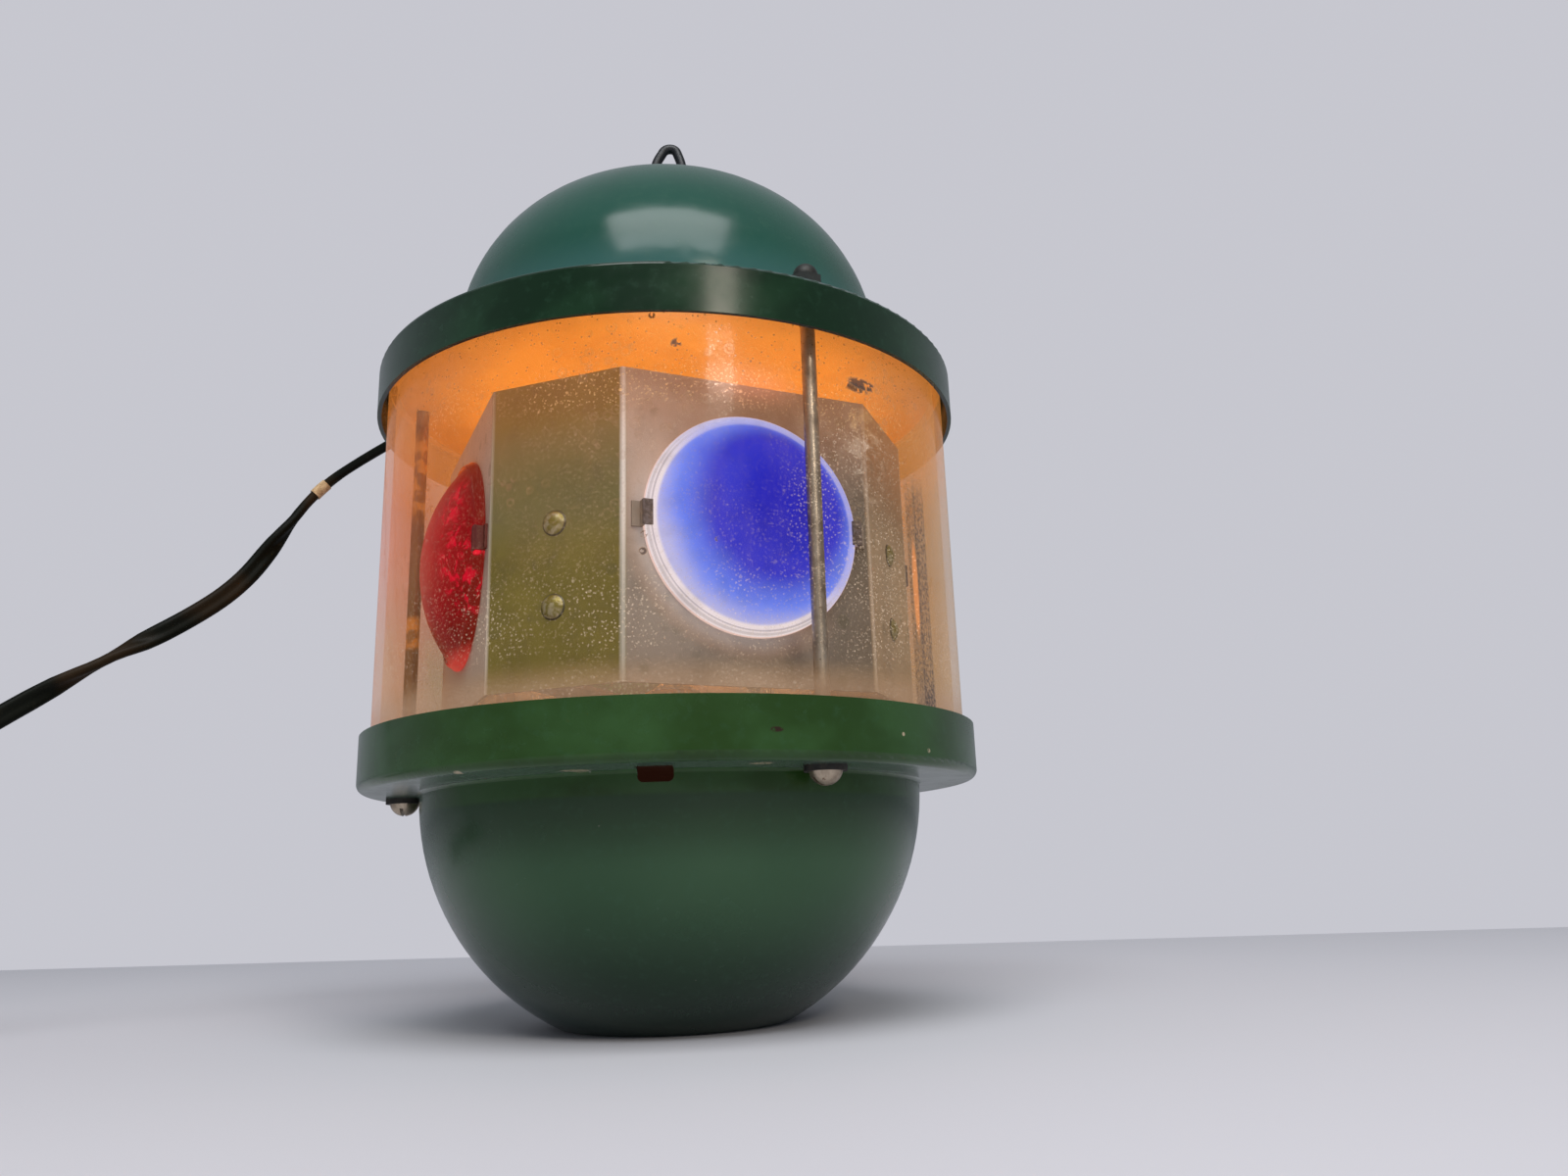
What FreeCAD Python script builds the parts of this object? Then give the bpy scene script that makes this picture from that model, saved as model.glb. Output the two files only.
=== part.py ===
"""Rotating motion lamp: a drum of coloured lenses turns around a bulb, inside a clear tube between two pressings.

Millimetres, +Z up. The origin is the centre of the foot that the lamp stands on. A bearing is an angle about
the lamp's axis, measured from the front, -Y, towards +X.
"""
import FreeCAD
import Part

import math
import os

import Sketcher
from FreeCAD import Placement, Rotation, Vector

# Every driving size, in millimetres, degrees, or a count of teeth. Heights are above the foot.
SIZES = {
    # the two green pressings
    "wall": 1.0,
    "rim_radius": 75.0,
    "rim_corner": 2.0,
    "cap_rim_corner": 1.0,
    "base_neck_corner": 0.8,
    "cap_neck_corner": 1.6,
    "foot_corner": 1.5,
    "base_underside": 54.2,
    "base_skirt": 12.8,
    "base_flange": 14.0,
    "foot_radius": 27.6,
    "cap_skirt": 11.7,
    "cap_shoulder": 158.9,
    "cap_flange": 18.4,
    "dome_straight": 11.0,
    "dome_knuckle": 46.2,
    "dome_crown": 74.2,
    "vent_width": 7.3,
    "vent_inset": 8.2,
    "vent_drop": 2.6,
    "vent_corner": 1.2,
    "vent_bearing": -3.5,
    # plates and clear tube
    "plate_gap": 1.2,
    "plate_thickness": 1.2,
    "tube_inset": 0.3,
    "tube_wall": 2.0,
    # tie bolts
    "bolt_inset": 6.1,
    "bolt_bearing": 27.5,
    "bolt_radius": 1.65,
    "bolt_head_radius": 3.5,
    "bolt_head_height": 2.9,
    "bolt_slot": 0.8,
    "bolt_slot_depth": 1.7,
    "washer_radius": 4.5,
    "fibre_washer": 1.2,
    "nut_washer": 1.0,
    "nut_flats": 6.7,
    "nut_height": 3.9,
    "nut_dome": 2.9,
    # hanging loop
    "loop_wire": 1.35,
    "loop_half_width": 4.0,
    "loop_height": 21.0,
    "loop_toe": 6.0,
    "loop_shoulder": 5.5,
    "loop_tip": 2.9,
    "loop_lean": 0.55,
    # drum
    "drum_turn": 19.46,
    "drum_head_room": 15.2,
    "drum_wall": 0.8,
    "drum_gap": 1.35,
    "drum_step": 5.5,
    "lens_lift": 1.25,
    "lens_radius": 25.4,
    "lens_dome_radius": 23.4,
    "lens_opening": 22.6,
    "lens_rim": 2.2,
    "lens_bulge": 10.4,
    "lens_wall": 1.6,
    "clip_width": 5.6,
    "clip_sheet": 0.6,
    "clip_lap": 1.6,
    "clip_foot": 2.4,
    # carrier under the drum
    "carrier_sheet": 1.2,
    "carrier_arm": 10.0,
    "carrier_end": 6.0,
    "carrier_disc": 16.0,
    "rivet_pitch": 18.6,
    "rivet_radius": 1.4,
    "rivet_head": 2.9,
    "rivet_head_height": 1.3,
    # drum bearing
    "spindle_radius": 2.5,
    "spindle_collar": 6.0,
    "spindle_collar_height": 3.6,
    "spindle_end": 3.0,
    "spindle_nut_flats": 8.0,
    "spindle_nut_height": 4.0,
    "thrust_washer": 0.8,
    "thrust_gap": 0.2,
    "hub_radius": 7.0,
    "hub_neck": 8.0,
    "hub_flange_radius": 13.5,
    "hub_flange": 3.0,
    "hub_nose": 7.0,
    "hub_screw_circle": 10.4,
    "hub_screw_radius": 1.2,
    "hub_clip_radius": 5.0,
    "hub_clip": 0.8,
    # gears and motor
    "gear_module": 0.8,
    "gear_teeth": 60,
    "pinion_teeth": 16,
    "gear_face": 4.0,
    "gear_play": 0.1,
    "pinion_face": 5.6,
    "motor_shaft_radius": 2.0,
    "motor_radius": 20.0,
    "motor_height": 20.0,
    "motor_boss_radius": 4.4,
    "motor_boss": 2.2,
    "motor_lug": 6.5,
    "motor_lug_width": 9.0,
    "motor_lug_sheet": 1.2,
    "motor_screw_radius": 1.5,
    # lampholder and bulb
    "holder_radius": 14.0,
    "holder_drop": 24.6,
    "holder_rise": 15.2,
    "holder_bore": 7.7,
    "holder_contact": 1.8,
    "holder_collar_radius": 18.0,
    "holder_collar": 2.0,
    "holder_ring": 4.0,
    "holder_shell_wall": 0.4,
    "bulb_radius": 22.5,
    "bulb_drop": 25.5,
    "bulb_glass": 0.8,
    "bulb_neck_radius": 6.3,
    "bulb_cap_radius": 6.9,
    "bulb_seat": 2.5,
    "bulb_cap_height": 18.5,
    "bulb_tip_radius": 2.6,
    "bulb_tip": 3.2,
    # wiring
    "block_length": 22.0,
    "block_width": 12.0,
    "block_height": 10.0,
    "block_radius": 34.0,
    "lead_radius": 1.1,
    "lead_bearing": 155.0,
    "lead_roof_inset": 5.6,
    "lead_floor_inset": 4.8,
    # mains cord
    "cord_radius": 2.7,
    "cord_bearing": -115.0,
    "cord_rise": 7.2,
    "relief_radius": 5.2,
    "relief_tip_radius": 3.6,
    "relief_flange_radius": 5.9,
    "relief_flange": 1.6,
    "relief_overhang": 5.0,
    "coil_x": -280.0,
    "coil_y": 4.0,
    "coil_inner": 24.3,
    "coil_outer": 39.3,
    "coil_height": 11.4,
    "tape_length": 5.0,
    "tape_sheet": 0.3,
    "plug_length": 30.0,
    "plug_width": 24.0,
    "plug_height": 16.0,
    "plug_relief": 18.0,
    "pin_length": 16.0,
    "pin_width": 6.3,
    "pin_sheet": 1.5,
    "pin_spacing": 12.7,
    # clearances
    "seat_gap": 0.05,
    "run_gap": 0.05,
    "hole_gap": 0.2,
}

# The free stretch of the mains cord, from its strain relief to the coil: chosen points, corner by corner.
CORD_ROUTE = [
    (-90.0, 41.0, 161.5),
    (-104.5, 42.0, 149.0),
    (-113.5, 38.0, 132.0),
    (-121.5, 34.0, 117.0),
    (-134.0, 28.0, 105.0),
    (-150.0, 19.5, 93.0),
    (-167.0, 9.5, 78.0),
    (-185.0, 0.0, 61.0),
    (-201.0, -9.5, 42.0),
    (-217.0, -19.0, 24.5),
    (-236.0, -28.5, 10.5),
    (-260.0, -33.6, 4.0),
]

DOC = FreeCAD.newDocument("MotionLamp")
SHEET = DOC.addObject("Spreadsheet::Sheet", "Sizes")
NODES = []


class Size:
    """A size from the sheet or worked out from such sizes: the text that binds a property, and its number."""

    def __init__(self, text, number):
        self.text = text
        self.number = float(number)

    def joined(self, sign, other, number):
        return Size(f"({self.text} {sign} {words(other)})", number)

    def __add__(self, other):
        return self.joined("+", other, self.number + plain(other))

    def __radd__(self, other):
        return self + other

    def __sub__(self, other):
        return self.joined("-", other, self.number - plain(other))

    def __rsub__(self, other):
        return Size(f"({words(other)} - {self.text})", plain(other) - self.number)

    def __mul__(self, other):
        return self.joined("*", other, self.number * plain(other))

    def __rmul__(self, other):
        return self * other

    def __truediv__(self, other):
        return self.joined("/", other, self.number / plain(other))

    def __neg__(self):
        return 0.0 - self


def plain(size):
    """The number of a Size, or of a bare number."""
    return size.number if isinstance(size, Size) else float(size)


def words(size):
    """The expression text of a Size, or of a bare number."""
    return size.text if isinstance(size, Size) else f"({float(size)!r})"


def root(size):
    return Size(f"sqrt({words(size)})", math.sqrt(plain(size)))


def sine(angle):
    return Size(f"sin({words(angle)})", math.sin(math.radians(plain(angle))))


def cosine(angle):
    return Size(f"cos({words(angle)})", math.cos(math.radians(plain(angle))))


class Sizes:
    """The sheet's sizes by name, such as sizes.wall, and below, the sizes that follow from them."""

    def __getattr__(self, name):
        return Size(f"Sizes.{name}", SIZES[name])

    @property
    def bowl_radius(self):
        return self.rim_radius - self.base_flange

    @property
    def bowl_centre(self):
        """The bowl's ball stands on a foot of its own radius."""
        return root(self.bowl_radius * self.bowl_radius - self.foot_radius * self.foot_radius)

    @property
    def base_rim_top(self):
        return self.base_underside + self.base_skirt

    @property
    def dome_radius(self):
        return self.rim_radius - self.cap_flange

    @property
    def cap_rim_low(self):
        return self.cap_shoulder - self.cap_skirt

    @property
    def vent_reach(self):
        return self.rim_radius - self.vent_inset

    @property
    def plate_radius(self):
        return self.rim_radius - self.wall - self.plate_gap

    @property
    def tube_radius(self):
        return self.plate_radius - self.tube_inset

    @property
    def bolt_circle(self):
        return self.tube_radius - self.bolt_inset

    @property
    def drum_wide_apothem(self):
        """The lenses clear the tie bolts as the drum turns."""
        return self.bolt_circle - self.bolt_radius - self.drum_gap - self.lens_bulge

    @property
    def drum_narrow_apothem(self):
        return self.drum_wide_apothem + self.drum_step

    @property
    def drum_low(self):
        return hub_low() + self.hub_neck + self.hub_flange

    @property
    def drum_high(self):
        return reflector_low() - self.drum_head_room

    @property
    def lens_height(self):
        return (self.drum_low + self.drum_high) / 2.0 + self.lens_lift

    @property
    def rivet_high(self):
        return self.lens_height

    @property
    def rivet_low(self):
        return self.rivet_high - self.rivet_pitch

    @property
    def carrier_top(self):
        return self.rivet_high + self.carrier_end

    @property
    def hub_top(self):
        return self.drum_low + self.hub_nose

    @property
    def spindle_top(self):
        return self.hub_top + self.spindle_end

    @property
    def motor_lug_reach(self):
        return self.motor_radius + self.motor_lug

    @property
    def holder_low(self):
        return reflector_low() - self.holder_drop

    @property
    def holder_high(self):
        return reflector_top() + self.holder_rise

    @property
    def holder_floor(self):
        return self.bulb_cap_high + self.bulb_tip + self.holder_contact

    @property
    def bulb_cap_low(self):
        return self.holder_low + self.bulb_seat

    @property
    def bulb_cap_high(self):
        return self.bulb_cap_low + self.bulb_cap_height

    @property
    def bulb_centre(self):
        return self.bulb_cap_low - self.bulb_drop

    @property
    def lead_hole_radius(self):
        return self.dome_radius - self.wall - self.lead_roof_inset

    @property
    def lead_floor_radius(self):
        return self.bowl_radius - self.wall - self.lead_floor_inset

    @property
    def cord_height(self):
        return self.cap_shoulder + self.cord_rise

    @property
    def relief_end(self):
        return self.rim_radius + self.relief_overhang


sizes = Sizes()


def fill_sheet():
    """Write each driving size into the sheet, and name its cell."""
    for row, (name, value) in enumerate(SIZES.items(), 1):
        SHEET.set(f"A{row}", name)
        SHEET.set(f"B{row}", str(value))
        SHEET.setAlias(f"B{row}", name)
    DOC.recompute()


# ---------------------------------------------------------------- helpers


def bind(thing, **values):
    """Set properties, and bind those given as a Size to the sheet."""
    for key, value in values.items():
        if isinstance(value, Size):
            setattr(thing, key, value.number)
            thing.setExpression(key, value.text)
        else:
            setattr(thing, key, value)
    return thing


def put(thing, x=0.0, y=0.0, z=0.0, turn=None):
    """Place a thing: turn is a Rotation, and each distance is bound to the sheet."""
    thing.Placement = Placement(Vector(plain(x), plain(y), plain(z)), turn or Rotation())
    for axis, value in (("x", x), ("y", y), ("z", z)):
        if isinstance(value, Size):
            thing.setExpression(f"Placement.Base.{axis}", value.text)
    return thing


def make(kind, name, **values):
    return bind(DOC.addObject(kind, name), **values)


def rod(name, radius, height, x=0.0, y=0.0, z=0.0, turn=None):
    return put(make("Part::Cylinder", name, Radius=radius, Height=height), x, y, z, turn)


def block(name, length, width, height, x=0.0, y=0.0, z=0.0, turn=None):
    return put(make("Part::Box", name, Length=length, Width=width, Height=height), x, y, z, turn)


def cut(name, base, *tools):
    """The base without the tools."""
    tool = tools[0] if len(tools) == 1 else join(f"{name}_tools", *tools)
    return make("Part::Cut", name, Base=base, Tool=tool)


def join(name, *shapes):
    return make("Part::MultiFuse", name, Shapes=list(shapes))


def common(name, *shapes):
    return make("Part::MultiCommon", name, Shapes=list(shapes))


def group(name, solids):
    """Several separate solids in one node."""
    return make("Part::Compound", name, Links=list(solids))


def solid(name, shape):
    """A node whose shape is made in code."""
    thing = DOC.addObject("Part::Feature", name)
    thing.Shape = shape
    return thing


def node(thing, label):
    """Keep a finished sub-part under its own name."""
    thing.Label = label
    NODES.append(thing)
    return thing


def compass(bearing):
    """The horizontal direction at a bearing."""
    angle = math.radians(plain(bearing))
    return Vector(math.sin(angle), -math.cos(angle), 0)


def about_z(angle):
    return Rotation(Vector(0, 0, 1), plain(angle))


def outward(bearing):
    """Turns +Z to point outwards at a bearing, and +X to point along the tangent."""
    return about_z(bearing) * Rotation(Vector(1, 0, 0), 90)


def around(count, start):
    """Evenly spaced bearings, as sizes."""
    return [start + 360.0 * index / count for index in range(count)]


def tube(name, outer, inner, height, z):
    return cut(name, rod(f"{name}_outer", outer, height, z=z), rod(f"{name}_bore", inner, height, z=z))


def arc_centre(start, end, radius):
    """The centre of the short arc between two points: a positive radius has it on the left of the way."""
    chord = end - start
    half = chord.Length / 2
    left = Vector(-chord.y, chord.x, 0).normalize()
    return (start + end) / 2 + left * math.copysign(math.sqrt(radius * radius - half * half), radius)


def outline(body, name, corners, arcs):
    """A closed sketch in the body's XZ plane. Each corner is bound to the sheet; arcs gives radii by side."""
    sketch = body.newObject("Sketcher::SketchObject", name)
    plane = [item for item in body.Origin.OriginFeatures if item.Role == "XZ_Plane"][0]
    sketch.AttachmentSupport = [(plane, "")]
    sketch.MapMode = "FlatFace"
    points = [Vector(plain(x), plain(y), 0) for x, y in corners]
    sides = []
    for index, start in enumerate(points):
        end = points[(index + 1) % len(points)]
        if index not in arcs:
            sides.append((sketch.addGeometry(Part.LineSegment(start, end)), 1, 2))
            continue
        radius = plain(arcs[index])
        centre = arc_centre(start, end, radius)
        first, last = (start, end) if radius > 0 else (end, start)
        angles = [math.atan2(point.y - centre.y, point.x - centre.x) for point in (first, last)]
        if angles[1] < angles[0]:
            angles[1] += 2 * math.pi
        circle = Part.Circle(centre, Vector(0, 0, 1), abs(radius))
        geometry = sketch.addGeometry(Part.ArcOfCircle(circle, *angles))
        sides.append((geometry, 1, 2) if radius > 0 else (geometry, 2, 1))
    for index, (geometry, _, far) in enumerate(sides):
        following, near, _ = sides[(index + 1) % len(sides)]
        sketch.addConstraint(Sketcher.Constraint("Coincident", geometry, far, following, near))
    for index, (x, y) in enumerate(corners):
        geometry, near, _ = sides[index]
        for kind, axis, value in (("DistanceX", -2, x), ("DistanceY", -1, y)):
            if not isinstance(value, Size) and value == 0:
                sketch.addConstraint(Sketcher.Constraint("PointOnObject", geometry, near, axis))
                continue
            at = sketch.addConstraint(Sketcher.Constraint(kind, -1, 1, geometry, near, plain(value)))
            sketch.setExpression(f"Constraints[{at}]", words(value))
    for index, radius in arcs.items():
        at = sketch.addConstraint(Sketcher.Constraint("Radius", sides[index][0], abs(plain(radius))))
        sketch.setExpression(f"Constraints[{at}]", f"abs({words(radius)})")
    return sketch


def turned(name, corners, arcs=None):
    """A body turned about the lamp's axis from an outline of radius and height."""
    body = DOC.addObject("PartDesign::Body", name)
    sketch = outline(body, f"{name}_outline", corners, arcs or {})
    spin = body.newObject("PartDesign::Revolution", f"{name}_turned")
    spin.Profile = sketch
    spin.ReferenceAxis = (sketch, ["V_Axis"])
    spin.Angle = 360.0
    body.Tip = spin
    DOC.recompute()
    return body


def rounded(body, name, radius, *rings):
    """Fillet the circles of given radius and height on a turned body."""
    base = body.Tip
    edges = []
    for index, edge in enumerate(base.Shape.Edges, 1):
        if edge.Degenerated or edge.Curve.TypeId != "Part::GeomCircle":
            continue
        for ring_radius, height in rings:
            near = abs(edge.Curve.Radius - plain(ring_radius)) < 1e-4
            level = abs(edge.Curve.Center.z - plain(height)) < 1e-4
            if near and level:
                edges.append(f"Edge{index}")
    if len(edges) != len(rings):
        raise ValueError(f"{name}: found {len(edges)} of {len(rings)} edges")
    fillet = body.newObject("PartDesign::Fillet", name)
    fillet.Base = (base, edges)
    bind(fillet, Radius=radius)
    body.Tip = fillet
    DOC.recompute()
    return body


def bored_pattern(body, name, radius, circle, bearing, count):
    """Drill a ring of vertical holes through a body."""
    sketch = body.newObject("Sketcher::SketchObject", f"{name}_circle")
    plane = [item for item in body.Origin.OriginFeatures if item.Role == "XY_Plane"][0]
    sketch.AttachmentSupport = [(plane, "")]
    sketch.MapMode = "FlatFace"
    x, y = circle * sine(bearing), -(circle * cosine(bearing))
    hole = Part.Circle(Vector(plain(x), plain(y), 0), Vector(0, 0, 1), plain(radius))
    geometry = sketch.addGeometry(hole)
    at = sketch.addConstraint(Sketcher.Constraint("Radius", geometry, plain(radius)))
    sketch.setExpression(f"Constraints[{at}]", radius.text)
    for kind, value in (("DistanceX", x), ("DistanceY", y)):
        at = sketch.addConstraint(Sketcher.Constraint(kind, -1, 1, geometry, 3, plain(value)))
        sketch.setExpression(f"Constraints[{at}]", value.text)
    before = body.Shape.Volume
    pocket = body.newObject("PartDesign::Pocket", name)
    pocket.Profile = sketch
    pocket.Type = "ThroughAll"
    pocket.Midplane = True
    body.Tip = pocket
    DOC.recompute()
    ring = body.newObject("PartDesign::PolarPattern", f"{name}_ring")
    ring.Originals = [pocket]
    ring.Axis = ([item for item in body.Origin.OriginFeatures if item.Role == "Z_Axis"][0], [""])
    ring.Angle = 360.0
    ring.Occurrences = count
    body.Tip = ring
    DOC.recompute()
    if body.Shape.Volume >= before:
        raise ValueError(f"{name} cuts nothing")
    return body


def round_head(name, radius, height, slot, slot_depth):
    """A domed screw head with a screwdriver slot: its flat side at the origin, its top up."""
    ball = (radius * radius + height * height) / (2.0 * height)
    dome = common(
        f"{name}_dome",
        put(make("Part::Sphere", f"{name}_ball", Radius=ball), z=height - ball),
        rod(f"{name}_blank", radius, height),
    )
    groove = block(f"{name}_slot", 2.0 * radius, slot, height, -radius, slot / -2.0, height - slot_depth)
    return cut(f"{name}_head", dome, groove)


def screw(name, shank_radius, shank, radius, height, slot, slot_depth):
    """A screw with its head up: the shank hangs from the origin."""
    head = round_head(name, radius, height, slot, slot_depth)
    return join(name, head, rod(f"{name}_shank", shank_radius, shank, z=-shank))


def hexagon(name, flats, height, z=0.0):
    return put(
        make("Part::Prism", name, Polygon=6, Circumradius=flats / (2.0 * cosine(30.0)), Height=height), z=z
    )


def bent(points, radii):
    """A wire of straight runs with a tangent arc at each inner point."""
    edges = []
    here = points[0]
    for index, radius in enumerate(radii, 1):
        corner = points[index]
        back = (points[index - 1] - corner).normalize()
        ahead = (points[index + 1] - corner).normalize()
        half = (math.pi - back.getAngle(ahead)) / 2
        reach = radius * math.tan(half)
        start, end = corner + back * reach, corner + ahead * reach
        middle = (back + ahead).normalize()
        centre = corner + middle * (radius / math.cos(half))
        edges.append(Part.LineSegment(here, start).toShape())
        edges.append(Part.Arc(start, centre - middle * radius, end).toShape())
        here = end
    edges.append(Part.LineSegment(here, points[-1]).toShape())
    return Part.Wire(edges)


def along(points, radii, radius):
    """A round bar along a bent line, checked against its section times its length."""
    line = bent(points, radii)
    start = (points[1] - points[0]).normalize()
    ring = Part.Wire([Part.makeCircle(radius, points[0], start)])
    bar = line.makePipeShell([ring], True, False)
    wanted = math.pi * radius * radius * line.Length
    if abs(bar.Volume - wanted) > 0.01 * wanted:
        raise ValueError(f"a bar of {wanted:.0f} cubic mm came out as {bar.Volume:.0f}")
    return bar, line.Length


def easy_radii(points):
    """The widest arcs that each pair of runs allows: 0.45 of the shorter run, over the tangent of half the turn."""
    radii = []
    for before, corner, after in zip(points, points[1:], points[2:]):
        first, second = corner - before, after - corner
        half = first.getAngle(second) / 2
        radii.append(0.45 * min(first.Length, second.Length) / math.tan(half))
    return radii


# ---------------------------------------------------------------- pressings


def bottom_bowl():
    """The lower pressing: a bowl with a flat foot, and a rim that holds the tube."""
    wall, centre = sizes.wall, sizes.bowl_centre
    inner = sizes.bowl_radius - wall
    rim, underside = sizes.rim_radius, sizes.base_underside
    floor = underside + wall

    def ball(radius, height):
        return root(radius * radius - (height - centre) * (height - centre))

    foot = ball(sizes.bowl_radius, 0.0 * wall)
    neck = ball(sizes.bowl_radius, underside)
    corners = [
        (0, 0),
        (foot, 0),
        (neck, underside),
        (rim, underside),
        (rim, sizes.base_rim_top),
        (rim - wall, sizes.base_rim_top),
        (rim - wall, floor),
        (ball(inner, floor), floor),
        (ball(inner, wall), wall),
        (0, wall),
    ]
    body = turned("bowl_pressing", corners, {1: sizes.bowl_radius, 7: -inner})
    rounded(body, "bowl_rim_round", sizes.rim_corner, (rim, underside))
    rounded(body, "bowl_neck_round", sizes.base_neck_corner, (neck, underside))
    rounded(body, "bowl_foot_round", sizes.foot_corner, (foot, 0))
    bored_pattern(body, "bowl_bolt_hole", bolt_hole_radius(), sizes.bolt_circle, sizes.bolt_bearing, 3)
    inside = inner - 2.0 * wall
    bearings = around(3, sizes.vent_bearing)
    vents = [vent_slot(f"vent_slot_{index}", bearing, inside) for index, bearing in enumerate(bearings)]
    node(cut("bowl_vented", body, *vents), "bottom_bowl")


def vent_slot(name, bearing, inside):
    """The cutter of a vent: a radial slot through the flat rim and the top of the bowl, its lower corners rounded."""
    width, corner, reach = sizes.vent_width, sizes.vent_corner, sizes.vent_reach
    low = sizes.base_underside - sizes.vent_drop
    height, length = sizes.vent_drop + 2.0 * sizes.wall, reach - inside
    pieces = [
        block(f"{name}_upper", width, length, height - corner, width / -2.0, -reach, low + corner),
        block(f"{name}_lower", width - 2.0 * corner, length, corner, corner - width / 2.0, -reach, low),
    ]
    for side in (-1.0, 1.0):
        x = side * (width / 2.0 - corner)
        turn = Rotation(Vector(1, 0, 0), -90)
        pieces.append(rod(f"{name}_corner_{side > 0}", corner, length, x, -reach, low + corner, turn=turn))
    return put(join(name, *pieces), turn=about_z(bearing))


def bolt_hole_radius():
    return sizes.bolt_radius + sizes.hole_gap


def bolt_spot(bearing):
    """Where a tie bolt's axis stands."""
    return sizes.bolt_circle * sine(bearing), -(sizes.bolt_circle * cosine(bearing))


def dome_top():
    """The height of the dome's outer top."""
    slope = sizes.dome_crown - sizes.dome_knuckle
    offset = sizes.dome_radius - sizes.dome_knuckle
    return sizes.cap_shoulder + sizes.dome_straight - root(slope * slope - offset * offset) + sizes.dome_crown


def top_cap():
    """The upper pressing: a dome of two radii, a flat shoulder, and a rim that drops over the tube."""
    wall, rim, shoulder = sizes.wall, sizes.rim_radius, sizes.cap_shoulder
    knuckle_height = shoulder + sizes.dome_straight
    slope = sizes.dome_crown - sizes.dome_knuckle
    offset = sizes.dome_radius - sizes.dome_knuckle
    rise = root(slope * slope - offset * offset)
    centre = knuckle_height - rise

    def blend(radius):
        """Where the crown of that radius meets the knuckle."""
        return radius * offset / slope, centre + radius * rise / slope

    inner_crown = sizes.dome_crown - wall
    corners = [
        (0, centre + sizes.dome_crown),
        blend(sizes.dome_crown),
        (sizes.dome_radius, knuckle_height),
        (sizes.dome_radius, shoulder),
        (rim, shoulder),
        (rim, sizes.cap_rim_low),
        (rim - wall, sizes.cap_rim_low),
        (rim - wall, shoulder - wall),
        (sizes.dome_radius - wall, shoulder - wall),
        (sizes.dome_radius - wall, knuckle_height),
        blend(inner_crown),
        (0, centre + inner_crown),
    ]
    arcs = {0: -sizes.dome_crown, 1: -sizes.dome_knuckle, 9: sizes.dome_knuckle - wall, 10: inner_crown}
    body = turned("cap_pressing", corners, arcs)
    rounded(body, "cap_rim_round", sizes.cap_rim_corner, (rim, shoulder))
    rounded(body, "cap_neck_round", sizes.cap_neck_corner, (sizes.dome_radius, shoulder))
    bored_pattern(body, "cap_bolt_hole", bolt_hole_radius(), sizes.bolt_circle, sizes.bolt_bearing, 3)
    holes = [
        rod(
            "cord_hole",
            sizes.relief_radius + sizes.seat_gap,
            sizes.rim_radius,
            z=sizes.cord_height,
            turn=outward(sizes.cord_bearing),
        )
    ]
    for side in (-1.0, 1.0):
        wire = rod(
            f"loop_hole_{side > 0}",
            sizes.loop_wire + sizes.seat_gap,
            sizes.loop_height,
            x=side * sizes.loop_half_width,
            z=dome_top() - sizes.loop_height / 2.0,
        )
        holes.append(wire)
    node(cut("cap_drilled", body, *holes), "top_cap")


def hanging_loop():
    """A wire bent to a pointed arch, through two holes in the dome, its toes turned out under the sheet."""
    wire, half = plain(sizes.loop_wire), plain(sizes.loop_half_width)
    under = plain(dome_top() - sizes.wall - sizes.loop_wire) - 0.9
    top = plain(dome_top() + sizes.loop_height - sizes.loop_wire)
    toe = half + plain(sizes.loop_toe)
    tip, lean = plain(sizes.loop_tip) / 2, plain(sizes.loop_lean)
    shoulder = top - plain(sizes.loop_shoulder)
    points = [
        Vector(-toe, 0, under),
        Vector(-half, 0, under),
        Vector(-half, 0, shoulder),
        Vector(lean - tip, 0, top),
        Vector(lean + tip, 0, top),
        Vector(half, 0, shoulder),
        Vector(half, 0, under),
        Vector(toe, 0, under),
    ]
    bend = 1.5 * wire
    loop, _ = along(points, [bend, *easy_radii(points)[1:-1], bend], wire)
    node(solid("loop_wire", loop), "hanging_loop")


# ---------------------------------------------------------------- tube, plates and tie bolts


def base_plate_low():
    return sizes.base_underside + sizes.wall


def base_plate_top():
    return base_plate_low() + sizes.plate_thickness


def reflector_top():
    return sizes.cap_shoulder - sizes.wall


def reflector_low():
    return reflector_top() - sizes.plate_thickness


def gear_distance():
    teeth = sizes.gear_teeth + sizes.pinion_teeth
    return sizes.gear_module * teeth / 2.0 + sizes.gear_play


def plate(name, z, holes, label):
    """A round plate clamped under a tube end, drilled for the tie bolts and for what passes through it."""
    blank = rod(f"{name}_blank", sizes.plate_radius, sizes.plate_thickness, z=z)
    drills = list(holes)
    for index, bearing in enumerate(around(3, sizes.bolt_bearing)):
        x, y = bolt_spot(bearing)
        drills.append(rod(f"{name}_bolt_hole_{index}", bolt_hole_radius(), sizes.plate_thickness, x, y, z))
    return node(cut(name, blank, *drills), label)


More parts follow.
